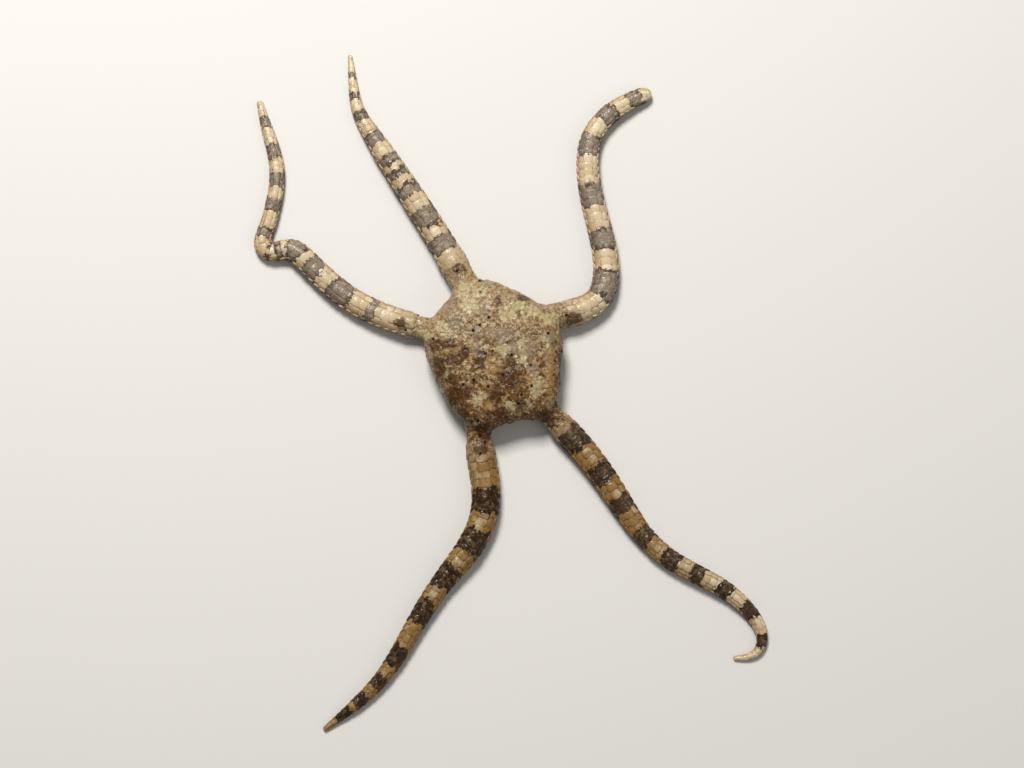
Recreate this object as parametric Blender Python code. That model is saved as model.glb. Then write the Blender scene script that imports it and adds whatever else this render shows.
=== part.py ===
"""Brittle star, life size, resting on the ground with its five arms spread and bent.

A low five-sided disc stands on five oral shields, with five jaws set in the mouth under it.
Each arm leaves a corner of the disc and runs along the ground in a few lengths to its tip.
Lengths are in metres, X runs to the right, Y away and Z up, and the origin is on the ground
under the middle of the whole animal.
"""
import math
import random
from collections import namedtuple

import bmesh
import bpy
import numpy as np
from mathutils import Matrix, Vector

MM = 0.001
GAP = 0.3 * MM
SEED = 11

# Disc: where its centre stands, its heights, and its outline as (bearing, radius in mm)
DISC_X = -0.78 * MM
DISC_Y = 1.78 * MM
DISC_HEIGHT = 2.6 * MM
DISC_RIM = 1.15 * MM
DISC_BELLY = 0.12 * MM
DISC_OUTLINE = (
    (4, 4.22), (20, 4.30), (45, 4.22), (58, 4.10), (78, 4.20), (88, 4.48), (104, 4.90),
    (122, 4.75), (132, 4.42), (150, 4.50), (170, 4.50), (184, 4.20), (196, 4.02),
    (210, 4.00), (232, 4.30), (250, 4.85), (266, 4.80), (278, 4.42), (292, 4.42), (304, 5.00),
    (320, 4.95), (333, 4.50), (347, 4.14),
)
DISC_SEGMENTS = 40
DISC_RINGS = 12
DOME_SQUARENESS = 0.72
BELLY_STEEPNESS = 1.35
SLOPE_STEP = 0.02

# Plates on the disc's back: rings as (share of the way out, number of plates, plate length)
PLATE_RINGS = (
    (0.0, 1, 1.26 * MM),
    (0.29, 6, 1.22 * MM),
    (0.54, 11, 1.18 * MM),
    (0.78, 17, 1.12 * MM),
)
PLATE_RISE = 0.11 * MM
PLATE_SUNK = 0.3 * MM
PLATE_FILL = 1.0
PLATE_SIDES = 7
PLATE_TOP_SHARE = 0.72
PLATE_TURN_VARIATION = 0.16
PLATE_SIZE_VARIATION = 0.08

# Radial shields: a pair of larger plates over the root of each arm
RADIAL_SHIELD_SHARE = 0.84
RADIAL_SHIELD_SPREAD = 7.5
RADIAL_SHIELD_LENGTH = 1.5 * MM
RADIAL_SHIELD_WIDTH = 0.75 * MM
RADIAL_SHIELD_RISE = 0.14 * MM
RADIAL_SHIELD_CLEAR = 15

# Mouth under the disc: its recess, the jaws in it and the oral shields round it
MOUTH_RADIUS = 2.05 * MM
MOUTH_DEPTH = 0.92 * MM
MOUTH_SIDES = 30
JAWS = 5
JAW_SPREAD = 360 / JAWS
JAW_FIRST_BEARING = 283
JAW_INNER = 0.52 * MM
JAW_OUTER = 1.72 * MM
JAW_SLIT = 0.36 * MM
JAW_BOTTOM = 0.14 * MM
JAW_HEIGHT = 0.46 * MM
JAW_ARC_SPANS = 4
TOOTH_LEVELS = (-0.18, 0.18)
TOOTH_LENGTH = 0.42 * MM
TOOTH_THICK = 0.24 * MM
TOOTH_ROOT_SHARE = 0.6
TOOTH_TIP_SHARE = 0.5
PAPILLA_PLACES = (0.42, 0.67, 0.92)
PAPILLA_LENGTH = 0.42 * MM
PAPILLA_THICK = 0.2 * MM
PAPILLA_INSET = 0.75
PAPILLA_LEVEL = -0.3
PAPILLA_DIP = 0.42
PAPILLA_TIP_SHARE = 0.6
ORAL_SHIELD_DISTANCE = 2.75 * MM
ORAL_SHIELD_RADIUS = 0.55 * MM
ORAL_SHIELD_FACE_SHARE = 0.85
ORAL_SHIELD_HEIGHT = 0.45 * MM
ORAL_SHIELD_SIDES = 10

# Arms: bearing and reach of the root from the disc's centre, then turns as (distance, heading),
# full widths as (distance, width) and the distances where the arm is parted, in mm and degrees.
# a runs to the near left, b to the near right with a hooked tip, c turns sharply away and ends
# in a blunt healed tip, d runs away to the left and e doubles back in a tight crook.
Arm = namedtuple("Arm", "bearing reach turns widths parts")
ARMS = {
    "a": Arm(
        258.7, 4.97,
        ((0, -88), (1, -80), (2.5, -81), (4.1, -93), (5.3, -109), (6.6, -120), (8, -130),
         (10, -126), (12, -120), (14, -119), (16, -126), (18, -138), (20, -143), (21, -140)),
        ((0, 1.88), (4.5, 1.76), (7.2, 1.64), (9.5, 1.36), (15, 1.06), (18.5, 0.78),
         (21, 0.30)),
        (0, 5.4, 10.8, 16.2, 21)),
    "b": Arm(
        313.0, 5.14,
        ((0, -47), (2, -48), (4, -54), (6, -58), (8, -56), (10, -43), (12, -28), (14, -28),
         (16.4, -45), (17.6, -60), (18.6, -88), (19.4, -130), (20.2, -172), (21.0, -180)),
        ((0, 1.80), (5.8, 1.58), (9, 1.28), (14.5, 1.16), (17, 0.92), (18, 0.80), (21.0, 0.28)),
        (0, 5.2, 10.4, 15.4, 18.3, 21.0)),
    "c": Arm(
        32.9, 4.47,
        ((0, 10), (1.3, 18), (2.4, 36), (3.2, 66), (4.4, 88), (5.8, 98), (7.1, 104),
         (8.4, 104), (9.6, 101), (10.8, 95), (12, 87), (13.3, 66), (14.6, 46), (15.9, 32),
         (18, 18)),
        ((0, 2.0), (2, 1.70), (9, 1.50), (13, 1.36), (16, 1.24), (18, 0.95)),
        (0, 3.0, 8.0, 12.8, 18)),
    "d": Arm(
        113.2, 5.27,
        ((0, 117), (2, 120), (4, 122), (8, 123), (10, 122), (11.4, 121), (12.4, 110),
         (13.4, 98), (16, 95)),
        ((0, 2.1), (2, 1.75), (6, 1.62), (9.2, 1.38), (11, 1.08), (13, 0.76), (14.6, 0.52),
         (16, 0.28)),
        (0, 4.6, 9.2, 12.8, 16)),
    "e": Arm(
        158.3, 4.57,
        ((0, 167), (2, 161), (4, 152), (6, 140), (8, 134), (9.3, 138), (10.1, 190),
         (10.7, 198), (11.8, 98), (12.4, 67), (13.6, 76), (14.9, 80), (16.1, 90),
         (17.5, 104), (18.8, 108), (21.2, 104)),
        ((0, 1.72), (9.0, 1.48), (11.0, 1.20), (12.4, 1.05), (16.5, 0.98), (19, 0.80),
         (21.2, 0.40)),
        (0, 5.0, 9.3, 12.2, 16.6, 21.2)),
}
ROOT_RUN = 1.2
ROUTE_STEP = 0.05

# Arm section for an arm one unit wide: a flat sole, drawn-in feet and a round back
SOLE_HALF = 0.27
FOOT_HALF = 0.43
FOOT_RISE = 0.13
SIDE_LEVEL = 0.36
BACK_RISE = 0.42
BACK_SPANS = 5

# Arm joints: pitch as a share of the width, and how far each joint's far edge stands out
JOINT_PITCH = 0.78
JOINT_PITCH_LEAST = 0.62
JOINT_RELIEF = 0.05
JOINT_NECK = 0.16
BENT_JOINT_NECK = 0.5
SHARP_BEND = math.radians(30)
JOINT_CLEAR = 0.15

# Arm spines: two rows on each side near the disc, one row further out, lying to the tip
SPINE_THICK = 0.50 * MM
SPINE_THICK_SHARE = 0.46
SPINE_TIP_SHARE = 0.42
SPINE_LENGTH_SHARE = 1.2
SPINE_SUNK_SHARE = 0.8
SPINE_FOOT_SHARE = 0.45
SPINE_STANDOUT = 0.13
SPINE_STANDOUT_SHARE = 0.1
SPINE_LEVELS = (0.27, 0.56)
SPINE_UPPER_INSET = 0.06
SPINE_TWO_ROWS_TO = 0.6
SPINE_FLOOR_CLEAR = 0.03 * MM
SPINE_LEAST_RUN = 0.45 * MM
SPINE_ROOT_CLEAR = 0.25
SPINE_LAST_CLEAR = 1.0
SPINE_VARIATION = 0.12

DISC_COLOUR = "#8f8358"
JAW_COLOUR = "#c8b98c"
ARM_COLOUR = "#b9a877"
WET_ROUGHNESS = 0.4
SMOOTH_ANGLE = 40


def colour(hex_code):
    """Linear colour with full alpha from an sRGB hex code."""
    values = [int(hex_code[i:i + 2], 16) / 255 for i in (1, 3, 5)]
    linear = [v / 12.92 if v <= 0.04045 else ((v + 0.055) / 1.055) ** 2.4 for v in values]
    return (*linear, 1.0)


def dress(part, hex_code):
    """Give a part its own wet limy material and smooth shading with sharp creases."""
    material = bpy.data.materials.new(part.name)
    material.use_nodes = True
    shader = material.node_tree.nodes["Principled BSDF"]
    shader.inputs["Base Color"].default_value = colour(hex_code)
    shader.inputs["Roughness"].default_value = WET_ROUGHNESS
    shader.inputs["Metallic"].default_value = 0.0
    material.diffuse_color = colour(hex_code)
    part.data.materials.clear()
    part.data.materials.append(material)
    part.data.shade_smooth()
    part.data.set_sharp_from_angle(angle=math.radians(SMOOTH_ANGLE))


def add_object(name, data, collection):
    """Link a mesh or a curve as a new object in a collection."""
    thing = bpy.data.objects.new(name, data)
    collection.objects.link(thing)
    return thing


def mesh_from(bm, name):
    """Turn a bmesh into a mesh with its faces pointing out."""
    bmesh.ops.recalc_face_normals(bm, faces=bm.faces)
    mesh = bpy.data.meshes.new(name)
    bm.to_mesh(mesh)
    bm.free()
    return mesh


def evaluated_mesh(thing):
    """The mesh of an object with its modifiers or its curve bevel applied."""
    graph = bpy.context.evaluated_depsgraph_get()
    graph.update()
    return bpy.data.meshes.new_from_object(thing.evaluated_get(graph))


def curve_to_mesh(curve_object, name, collection):
    """Replace a curve object by a closed mesh object with welded caps."""
    bm = bmesh.new()
    bm.from_mesh(evaluated_mesh(curve_object))
    bmesh.ops.remove_doubles(bm, verts=bm.verts, dist=0.001 * MM)
    place = curve_object.matrix_world.copy()
    bpy.data.objects.remove(curve_object, do_unlink=True)
    solid = add_object(name, mesh_from(bm, name), collection)
    solid.matrix_world = place
    return solid


def keep_largest(bm):
    """Drop every closed surface of a bmesh but the one with the most faces."""
    left = set(bm.faces)
    shells = []
    while left:
        front = [left.pop()]
        shell = list(front)
        while front:
            face = front.pop()
            touching = {other for edge in face.edges for other in edge.link_faces} & left
            left -= touching
            front.extend(touching)
            shell.extend(touching)
        shells.append(shell)
    shells.sort(key=len)
    scraps = [face for shell in shells[:-1] for face in shell]
    bmesh.ops.delete(bm, geom=scraps, context="FACES")


def combine(body, pieces, operation="UNION"):
    """Join a collection of closed pieces to a body, or cut them from it, then drop them."""
    boolean = body.modifiers.new("combine", "BOOLEAN")
    boolean.operation = operation
    boolean.operand_type = "COLLECTION"
    boolean.collection = pieces
    boolean.solver = "EXACT"
    combined = evaluated_mesh(body)
    body.modifiers.remove(boolean)
    bm = bmesh.new()
    bm.from_mesh(combined)
    keep_largest(bm)
    body.data = mesh_from(bm, body.name)
    for piece in list(pieces.objects):
        bpy.data.objects.remove(piece, do_unlink=True)


def outline_curve(name, points, collection):
    """A closed flat curve through points in the XY plane."""
    curve = bpy.data.curves.new(name, "CURVE")
    curve.dimensions = "2D"
    spline = curve.splines.new("POLY")
    spline.points.add(len(points) - 1)
    for point, (x, y) in zip(spline.points, points):
        point.co = (x, y, 0, 1)
    spline.use_cyclic_u = True
    return add_object(name, curve, collection)


def peg(name, collection, foot, tip, thick, tip_thick, sides=5):
    """A tapered peg from its foot to its tip."""
    run = tip - foot
    bm = bmesh.new()
    bmesh.ops.create_cone(bm, cap_ends=True, segments=sides, radius1=thick / 2,
                          radius2=tip_thick / 2, depth=run.length)
    turn = run.to_track_quat("Z", "Y").to_matrix().to_4x4()
    bmesh.ops.transform(bm, matrix=Matrix.Translation((foot + tip) / 2) @ turn, verts=bm.verts)
    add_object(name, mesh_from(bm, name), collection)


def scute(name, collection, place, turn, length, width, rise):
    """A low plate with sloping edges, sunk in the surface it lies on."""
    bm = bmesh.new()
    bmesh.ops.create_cone(bm, cap_ends=True, segments=PLATE_SIDES, radius1=0.5,
                          radius2=0.5 * PLATE_TOP_SHARE, depth=1.0)
    shape = Matrix.Diagonal((length, width, rise + PLATE_SUNK, 1.0))
    lift = Matrix.Translation((0, 0, (rise - PLATE_SUNK) / 2))
    bmesh.ops.transform(bm, matrix=Matrix.Translation(place) @ turn @ lift @ shape,
                        verts=bm.verts)
    add_object(name, mesh_from(bm, name), collection)


def from_disc(bearing, radius, height=0.0):
    """Point at a bearing in degrees and a radius from the disc's centre."""
    angle = math.radians(bearing)
    return Vector((DISC_X + radius * math.cos(angle), DISC_Y + radius * math.sin(angle), height))


def disc_radius(bearing):
    """Radius of the disc's outline at a bearing in degrees."""
    bearings, radii = zip(*DISC_OUTLINE)
    return float(np.interp(bearing % 360, bearings, radii, period=360)) * MM


def disc_point(bearing, share):
    """Point on the back of the disc, this share of the way from its centre to its outline."""
    rise = (1 - share ** (2 / DOME_SQUARENESS)) ** (DOME_SQUARENESS / 2)
    height = DISC_RIM + (DISC_HEIGHT - DISC_RIM) * rise
    return from_disc(bearing, disc_radius(bearing) * share, height)


def disc_turn(bearing, share):
    """Rotation onto the disc's back at a place, with X pointing away from the centre."""
    outward = disc_point(bearing, share + SLOPE_STEP) - disc_point(bearing, share)
    ring = max(share, SLOPE_STEP)
    along = disc_point(bearing + 1, ring) - disc_point(bearing - 1, ring)
    up = outward.cross(along).normalized()
    side = up.cross(outward).normalized()
    return Matrix((side.cross(up), side, up)).transposed().to_4x4()


def disc_body(collection):
    """Low dome with a square-shouldered rim and a flat belly, on the disc's own outline."""
    bm = bmesh.new()
    bmesh.ops.create_uvsphere(bm, u_segments=DISC_SEGMENTS, v_segments=DISC_RINGS, radius=1.0)
    for vert in bm.verts:
        level = vert.co.z
        share = min(1.0, math.hypot(vert.co.x, vert.co.y)) ** DOME_SQUARENESS
        bearing = math.degrees(math.atan2(vert.co.y, vert.co.x))
        place = from_disc(bearing, disc_radius(bearing) * share)
        if level >= 0:
            place.z = DISC_RIM + (DISC_HEIGHT - DISC_RIM) * level ** DOME_SQUARENESS
        else:
            place.z = DISC_RIM - (DISC_RIM - DISC_BELLY) * min(1.0, -BELLY_STEEPNESS * level)
        vert.co = place
    return add_object("disc", mesh_from(bm, "disc"), collection)


def add_disc_plates(pieces, draw):
    """Rings of plates on the disc's back, leaving room for the radial shields."""
    last_ring = PLATE_RINGS[-1][0]
    for ring, (share, count, length) in enumerate(PLATE_RINGS):
        for index in range(count):
            shift = 0.5 * (ring % 2) + PLATE_TURN_VARIATION * draw.uniform(-1, 1)
            bearing = 360 / count * (index + shift)
            nearest = min(abs((bearing - arm.bearing + 180) % 360 - 180) for arm in ARMS.values())
            if share == last_ring and nearest < RADIAL_SHIELD_CLEAR:
                continue
            width = length
            if share > 0:
                width = PLATE_FILL * 2 * math.pi * share * disc_radius(bearing) / count
            size = 1 + PLATE_SIZE_VARIATION * draw.uniform(-1, 1)
            scute("plate", pieces, disc_point(bearing, share), disc_turn(bearing, share),
                  length * size, width * size, PLATE_RISE)


def add_radial_shields(pieces):
    """A pair of shields over the root of each arm."""
    share = RADIAL_SHIELD_SHARE
    for arm in ARMS.values():
        for hand in (-1, 1):
            bearing = arm.bearing + hand * RADIAL_SHIELD_SPREAD
            scute("radial_shield", pieces, disc_point(bearing, share), disc_turn(bearing, share),
                  RADIAL_SHIELD_LENGTH, RADIAL_SHIELD_WIDTH, RADIAL_SHIELD_RISE)


def add_oral_shields(pieces):
    """Shields round the mouth, whose flat faces stand on the ground."""
    for number in range(JAWS):
        bm = bmesh.new()
        bmesh.ops.create_cone(bm, cap_ends=True, segments=ORAL_SHIELD_SIDES,
                              radius1=ORAL_SHIELD_RADIUS * ORAL_SHIELD_FACE_SHARE,
                              radius2=ORAL_SHIELD_RADIUS, depth=ORAL_SHIELD_HEIGHT)
        bearing = JAW_FIRST_BEARING + JAW_SPREAD * number
        place = from_disc(bearing, ORAL_SHIELD_DISTANCE, ORAL_SHIELD_HEIGHT / 2)
        bmesh.ops.translate(bm, vec=place, verts=bm.verts)
        add_object("oral_shield", mesh_from(bm, "oral_shield"), pieces)


def add_mouth_cutter(cutters):
    """The round recess that holds the jaws."""
    bm = bmesh.new()
    bmesh.ops.create_cone(bm, cap_ends=True, segments=MOUTH_SIDES, radius1=MOUTH_RADIUS,
                          radius2=MOUTH_RADIUS, depth=2 * MOUTH_DEPTH)
    bmesh.ops.translate(bm, vec=from_disc(0, 0), verts=bm.verts)
    cutter = add_object("mouth_cutter", mesh_from(bm, "mouth_cutter"), cutters)
    cutter.hide_render = True
    cutter.display_type = "WIRE"


def jaw_edge(radius):
    """Angle from a jaw's middle line to its edge, beside the slit to the next jaw."""
    return math.radians(JAW_SPREAD / 2) - math.asin(JAW_SLIT / 2 / radius)


def add_teeth(pieces):
    """Two teeth, one over the other, at the tip of a jaw that points along -X."""
    for level in TOOTH_LEVELS:
        foot = Vector((JAW_INNER + TOOTH_LENGTH * TOOTH_ROOT_SHARE, 0, JAW_HEIGHT * level))
        tip = foot - Vector((TOOTH_LENGTH, 0, 0))
        peg("tooth", pieces, foot, tip, TOOTH_THICK, TOOTH_THICK * TOOTH_TIP_SHARE)


def add_papillae(pieces):
    """A row of papillae along each edge of a jaw, leaning to the middle of the mouth."""
    for hand in (-1, 1):
        for share in PAPILLA_PLACES:
            radius = JAW_INNER + (JAW_OUTER - JAW_INNER) * share
            angle = hand * (jaw_edge(radius) - PAPILLA_THICK * PAPILLA_INSET / radius)
            ray = Vector((math.cos(angle), math.sin(angle), 0))
            foot = ray * radius + Vector((0, 0, JAW_HEIGHT * PAPILLA_LEVEL))
            lean = (-ray - Vector((0, 0, PAPILLA_DIP))).normalized()
            peg("papilla", pieces, foot, foot + lean * PAPILLA_LENGTH, PAPILLA_THICK,
                PAPILLA_THICK * PAPILLA_TIP_SHARE)


def jaw(name, bearing, collection, pieces):
    """One wedge-shaped jaw with its teeth and papillae, turned to its place in the mouth."""
    outline = [(JAW_INNER, jaw_edge(JAW_INNER)), (JAW_INNER, -jaw_edge(JAW_INNER))]
    for step in range(JAW_ARC_SPANS + 1):
        outline.append((JAW_OUTER, jaw_edge(JAW_OUTER) * (2 * step / JAW_ARC_SPANS - 1)))
    points = [(radius * math.cos(angle), radius * math.sin(angle)) for radius, angle in outline]
    wedge = outline_curve("jaw_outline", points, collection)
    wedge.data.fill_mode = "BOTH"
    wedge.data.extrude = JAW_HEIGHT / 2
    body = curve_to_mesh(wedge, name, collection)
    add_teeth(pieces)
    add_papillae(pieces)
    combine(body, pieces)
    turn = Matrix.Rotation(math.radians(bearing), 4, "Z")
    body.matrix_world = Matrix.Translation(from_disc(0, 0, JAW_BOTTOM + JAW_HEIGHT / 2)) @ turn
    dress(body, JAW_COLOUR)


def arm_line(arm):
    """Middle line of an arm on the ground: distances in mm, places and headings."""
    distances = np.arange(-ROOT_RUN, arm.turns[-1][0] + ROUTE_STEP / 2, ROUTE_STEP)
    turn_at, turn_to = zip(*arm.turns)
    headings = np.radians(np.interp(distances, turn_at, turn_to))
    middle = (headings[1:] + headings[:-1]) / 2
    x = np.concatenate(([0.0], np.cumsum(np.cos(middle)) * ROUTE_STEP)) * MM
    y = np.concatenate(([0.0], np.cumsum(np.sin(middle)) * ROUTE_STEP)) * MM
    root = from_disc(arm.bearing, arm.reach * MM)
    x += root.x - np.interp(0, distances, x)
    y += root.y - np.interp(0, distances, y)
    return distances, x, y, headings


def on_arm(line, distance):
    """Place and heading at a distance in mm along an arm's middle line."""
    distances, x, y, headings = line
    place = Vector((np.interp(distance, distances, x), np.interp(distance, distances, y), 0))
    return place, float(np.interp(distance, distances, headings))


def bend_between(line, near, far):
    """Bend of an arm between two distances, in radians a millimetre."""
    return abs(on_arm(line, far)[1] - on_arm(line, near)[1]) / (far - near)


def spine_standout(full_width):
    """How far in mm the spines stand out past each side of an arm."""
    return min(SPINE_STANDOUT, SPINE_STANDOUT_SHARE * full_width)


def arm_width(arm, distance):
    """Width of an arm's body in mm, without what its spines add at the sides."""
    width_at, width = zip(*arm.widths)
    full = float(np.interp(distance, width_at, width))
    return full - 2 * spine_standout(full)


def arm_joints(arm):
    """Distances in mm of an arm's joints, from its root to its tip."""
    joints = [0.0]
    length = arm.turns[-1][0]
    while joints[-1] < length:
        pitch = max(JOINT_PITCH * arm_width(arm, joints[-1]), JOINT_PITCH_LEAST)
        joints.append(joints[-1] + pitch)
    stretch = length / joints[-1]
    return [joint * stretch for joint in joints]


def arm_section(guides):
    """Section of an arm one metre wide, as a closed flat curve."""
    points = [(SOLE_HALF, 0.0), (FOOT_HALF, FOOT_RISE)]
    for step in range(BACK_SPANS + 1):
        angle = math.pi * step / BACK_SPANS
        points.append((0.5 * math.cos(angle), SIDE_LEVEL + BACK_RISE * math.sin(angle)))
    points += [(-FOOT_HALF, FOOT_RISE), (-SOLE_HALF, 0.0)]
    section = outline_curve("arm_section", points, guides)
    section.hide_render = True
    section.display_type = "WIRE"
    return section


def arm_length(name, arm, line, joints, span, section, collection):
    """One length of an arm: its section swept over a span, stepped at each joint."""
    start, end = span
    stations = []
    for near, far in zip(joints, joints[1:]):
        neck = BENT_JOINT_NECK if bend_between(line, near, far) > SHARP_BEND else JOINT_NECK
        stations.append((near + neck * (far - near), -JOINT_RELIEF))
        stations.append((far, JOINT_RELIEF))
    stations = [s for s in stations if start + JOINT_CLEAR < s[0] < end - JOINT_CLEAR]
    stations = [(start, 0.0), *stations, (end, 0.0)]
    curve = bpy.data.curves.new("arm_route", "CURVE")
    curve.dimensions = "3D"
    curve.twist_mode = "Z_UP"
    curve.bevel_mode = "OBJECT"
    curve.bevel_object = section
    curve.use_fill_caps = True
    spline = curve.splines.new("POLY")
    spline.points.add(len(stations) - 1)
    for point, (distance, relief) in zip(spline.points, stations):
        place, _ = on_arm(line, distance)
        point.co = (*place, 1)
        point.radius = arm_width(arm, distance) * MM * (1 + relief)
    return curve_to_mesh(add_object("arm_route", curve, collection), name, collection)


def add_spines(arm, line, joints, span, pieces, draw):
    """Spines on both sides of one length of an arm, lying back along it to its tip."""
    start, end = span
    length = arm.turns[-1][0]
    for near, far in zip(joints, joints[1:]):
        foot_at = near + SPINE_FOOT_SHARE * (far - near)
        on_length = start + SPINE_ROOT_CLEAR < foot_at < min(end, length - SPINE_LAST_CLEAR)
        if not on_length or bend_between(line, near, far) > SHARP_BEND:
            continue
        width = arm_width(arm, foot_at) * MM
        thick = min(SPINE_THICK, SPINE_THICK_SHARE * width)
        tip_thick = thick * SPINE_TIP_SHARE
        place, heading = on_arm(line, foot_at)
        ahead = Vector((math.cos(heading), math.sin(heading), 0))
        side = Vector((-ahead.y, ahead.x, 0))
        rows = 2 if foot_at < SPINE_TWO_ROWS_TO * length else 1
        for level in SPINE_LEVELS[:rows]:
            inset = SPINE_UPPER_INSET * width if level > SIDE_LEVEL else 0.0
            rise = Vector((0, 0, max(level * width, thick / 2 + SPINE_FLOOR_CLEAR)))
            for hand in (-1, 1):
                vary = 1 + SPINE_VARIATION * draw.uniform(-1, 1)
                run = min(SPINE_LENGTH_SHARE * (far - near) * vary, end - foot_at) * MM
                if run < SPINE_LEAST_RUN:
                    continue
                flank = width / 2 - inset
                out = spine_standout(width / MM) * MM * vary
                foot = place + rise + side * hand * (flank - SPINE_SUNK_SHARE * thick)
                tip = place + rise + ahead * run + side * hand * (flank + out - tip_thick / 2)
                peg("spine", pieces, foot, tip, thick, tip_thick)


def build_disc(animal, pieces, section, lines, draw):
    """The disc with the roots of its arms, its plates and shields, and the mouth cut in it."""
    disc = disc_body(animal)
    for key, arm in ARMS.items():
        root = (-ROOT_RUN, -GAP / MM / 2)
        arm_length("arm_root", arm, lines[key], [], root, section, pieces)
    add_disc_plates(pieces, draw)
    add_radial_shields(pieces)
    add_oral_shields(pieces)
    combine(disc, pieces)
    add_mouth_cutter(pieces)
    combine(disc, pieces, operation="DIFFERENCE")
    dress(disc, DISC_COLOUR)


def build_arm(key, arm, line, animal, pieces, section, draw):
    """An arm in its lengths, each with its own spines, parted by the gap."""
    joints = arm_joints(arm)
    half_gap = GAP / MM / 2
    for number, (near, far) in enumerate(zip(arm.parts, arm.parts[1:]), 1):
        span = (near + half_gap, far if far == arm.parts[-1] else far - half_gap)
        body = arm_length(f"arm_{key}_{number}", arm, line, joints, span, section, animal)
        add_spines(arm, line, joints, span, pieces, draw)
        combine(body, pieces)
        dress(body, ARM_COLOUR)


def main():
    for old in list(bpy.data.objects):
        bpy.data.objects.remove(old, do_unlink=True)
    animal = bpy.data.collections.new("brittle_star")
    guides = bpy.data.collections.new("guides")
    pieces = bpy.data.collections.new("pieces_to_join")
    for group in (animal, guides, pieces):
        bpy.context.scene.collection.children.link(group)
    draw = random.Random(SEED)
    section = arm_section(guides)
    lines = {key: arm_line(arm) for key, arm in ARMS.items()}
    build_disc(animal, pieces, section, lines, draw)
    for number in range(JAWS):
        bearing = JAW_FIRST_BEARING + JAW_SPREAD * number
        jaw(f"jaw_{number + 1}", bearing, animal, pieces)
    for key, arm in ARMS.items():
        build_arm(key, arm, lines[key], animal, pieces, section, draw)


main()
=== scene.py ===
import math
from collections import namedtuple

import bmesh
import bpy
import numpy as np
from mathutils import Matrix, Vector, noise
from mathutils.bvhtree import BVHTree
from mathutils.kdtree import KDTree


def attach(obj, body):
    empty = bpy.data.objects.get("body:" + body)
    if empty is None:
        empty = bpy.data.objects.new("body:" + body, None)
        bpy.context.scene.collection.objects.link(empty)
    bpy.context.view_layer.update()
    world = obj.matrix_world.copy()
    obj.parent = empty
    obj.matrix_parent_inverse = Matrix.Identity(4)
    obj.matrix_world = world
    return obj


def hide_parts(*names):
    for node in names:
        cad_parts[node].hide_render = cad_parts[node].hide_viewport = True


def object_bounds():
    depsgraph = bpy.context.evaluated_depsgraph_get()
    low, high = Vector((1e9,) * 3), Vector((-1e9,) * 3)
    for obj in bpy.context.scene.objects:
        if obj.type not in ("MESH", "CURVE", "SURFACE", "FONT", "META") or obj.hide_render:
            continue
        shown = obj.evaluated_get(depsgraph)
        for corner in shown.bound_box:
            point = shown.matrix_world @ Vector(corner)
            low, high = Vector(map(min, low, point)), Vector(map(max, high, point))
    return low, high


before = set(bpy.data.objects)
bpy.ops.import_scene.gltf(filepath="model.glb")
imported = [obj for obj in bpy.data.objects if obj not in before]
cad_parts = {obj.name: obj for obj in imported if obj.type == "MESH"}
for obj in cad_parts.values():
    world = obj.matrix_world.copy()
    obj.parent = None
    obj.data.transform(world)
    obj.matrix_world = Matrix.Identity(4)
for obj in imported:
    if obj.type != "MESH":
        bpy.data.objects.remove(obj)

CAD_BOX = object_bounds()

# Camera
# It looks down on the animal from 80 degrees above the ground, from the near side, with a long
# lens, so that 16.5 pixels of the picture are one millimetre on the animal.
MM = 0.001
LENS = 100.0
SENSOR = 36.0
PICTURE_WIDTH = 1024
PIXELS_PER_MM = 16.5
CAMERA_ELEVATION = math.radians(80)
LOOK_AT = Vector((0.25, 0.15, 0.0)) * MM


def add_object(name, data):
    """New object of the scene from a mesh, a light or a camera."""
    thing = bpy.data.objects.new(name, data)
    bpy.context.scene.collection.objects.link(thing)
    return thing


camera_data = bpy.data.cameras.new("camera")
camera_data.lens = LENS
camera_data.sensor_width = SENSOR
camera_data.clip_start = 0.01
camera = add_object("camera", camera_data)
away = Vector((0, -math.cos(CAMERA_ELEVATION), math.sin(CAMERA_ELEVATION)))
camera.location = LOOK_AT + away * (PICTURE_WIDTH * LENS / SENSOR / PIXELS_PER_MM * MM)
camera.rotation_euler = away.to_track_quat("Z", "Y").to_euler()
bpy.context.scene.camera = camera

# Floor and light
# A plain pale floor of smooth matt board, lit by one soft window-like light close beyond the
# animal, a weaker broad one from the near right and a pale surround.
FLOOR_HALF = 1.5
FLOOR_COLOUR = "#cfcfce"
FLOOR_ROUGHNESS = 0.8
FLOOR_PAPER_GRAIN = 0.4
FLOOR_GRAIN_DEPTH = 0.02
FLOOR_GRAIN_STRENGTH = 0.05
SURROUND_COLOUR = "#e6e6e4"
SURROUND_STRENGTH = 0.28
LIGHT_COLOUR = "#fffaf2"


def linear(hex_code):
    """Linear colour with full alpha from an sRGB hex code."""
    values = [int(hex_code[i:i + 2], 16) / 255 for i in (1, 3, 5)]
    return (*[v / 12.92 if v <= 0.04045 else ((v + 0.055) / 1.055) ** 2.4 for v in values], 1.0)


def add_node(tree, kind, settings, inputs):
    """Add a shader node. Its inputs, by name or in order, are values or outputs to link."""
    node = tree.nodes.new("ShaderNode" + kind)
    for name, value in settings.items():
        setattr(node, name, value)
    for name, value in inputs.items() if isinstance(inputs, dict) else enumerate(inputs):
        if isinstance(value, bpy.types.NodeSocket):
            tree.links.new(value, node.inputs[name])
        else:
            node.inputs[name].default_value = value
    return node


def per_mm(size):
    """Scale of a texture whose features are this many millimetres across."""
    return 1 / (size * MM)


def new_material(name):
    """Material with its node tree, its shader and the place on the object for patterns."""
    material = bpy.data.materials.new(name)
    material.use_nodes = True
    tree = material.node_tree
    place = add_node(tree, "TexCoord", {}, {}).outputs["Object"]
    return material, tree, tree.nodes["Principled BSDF"], place


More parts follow.
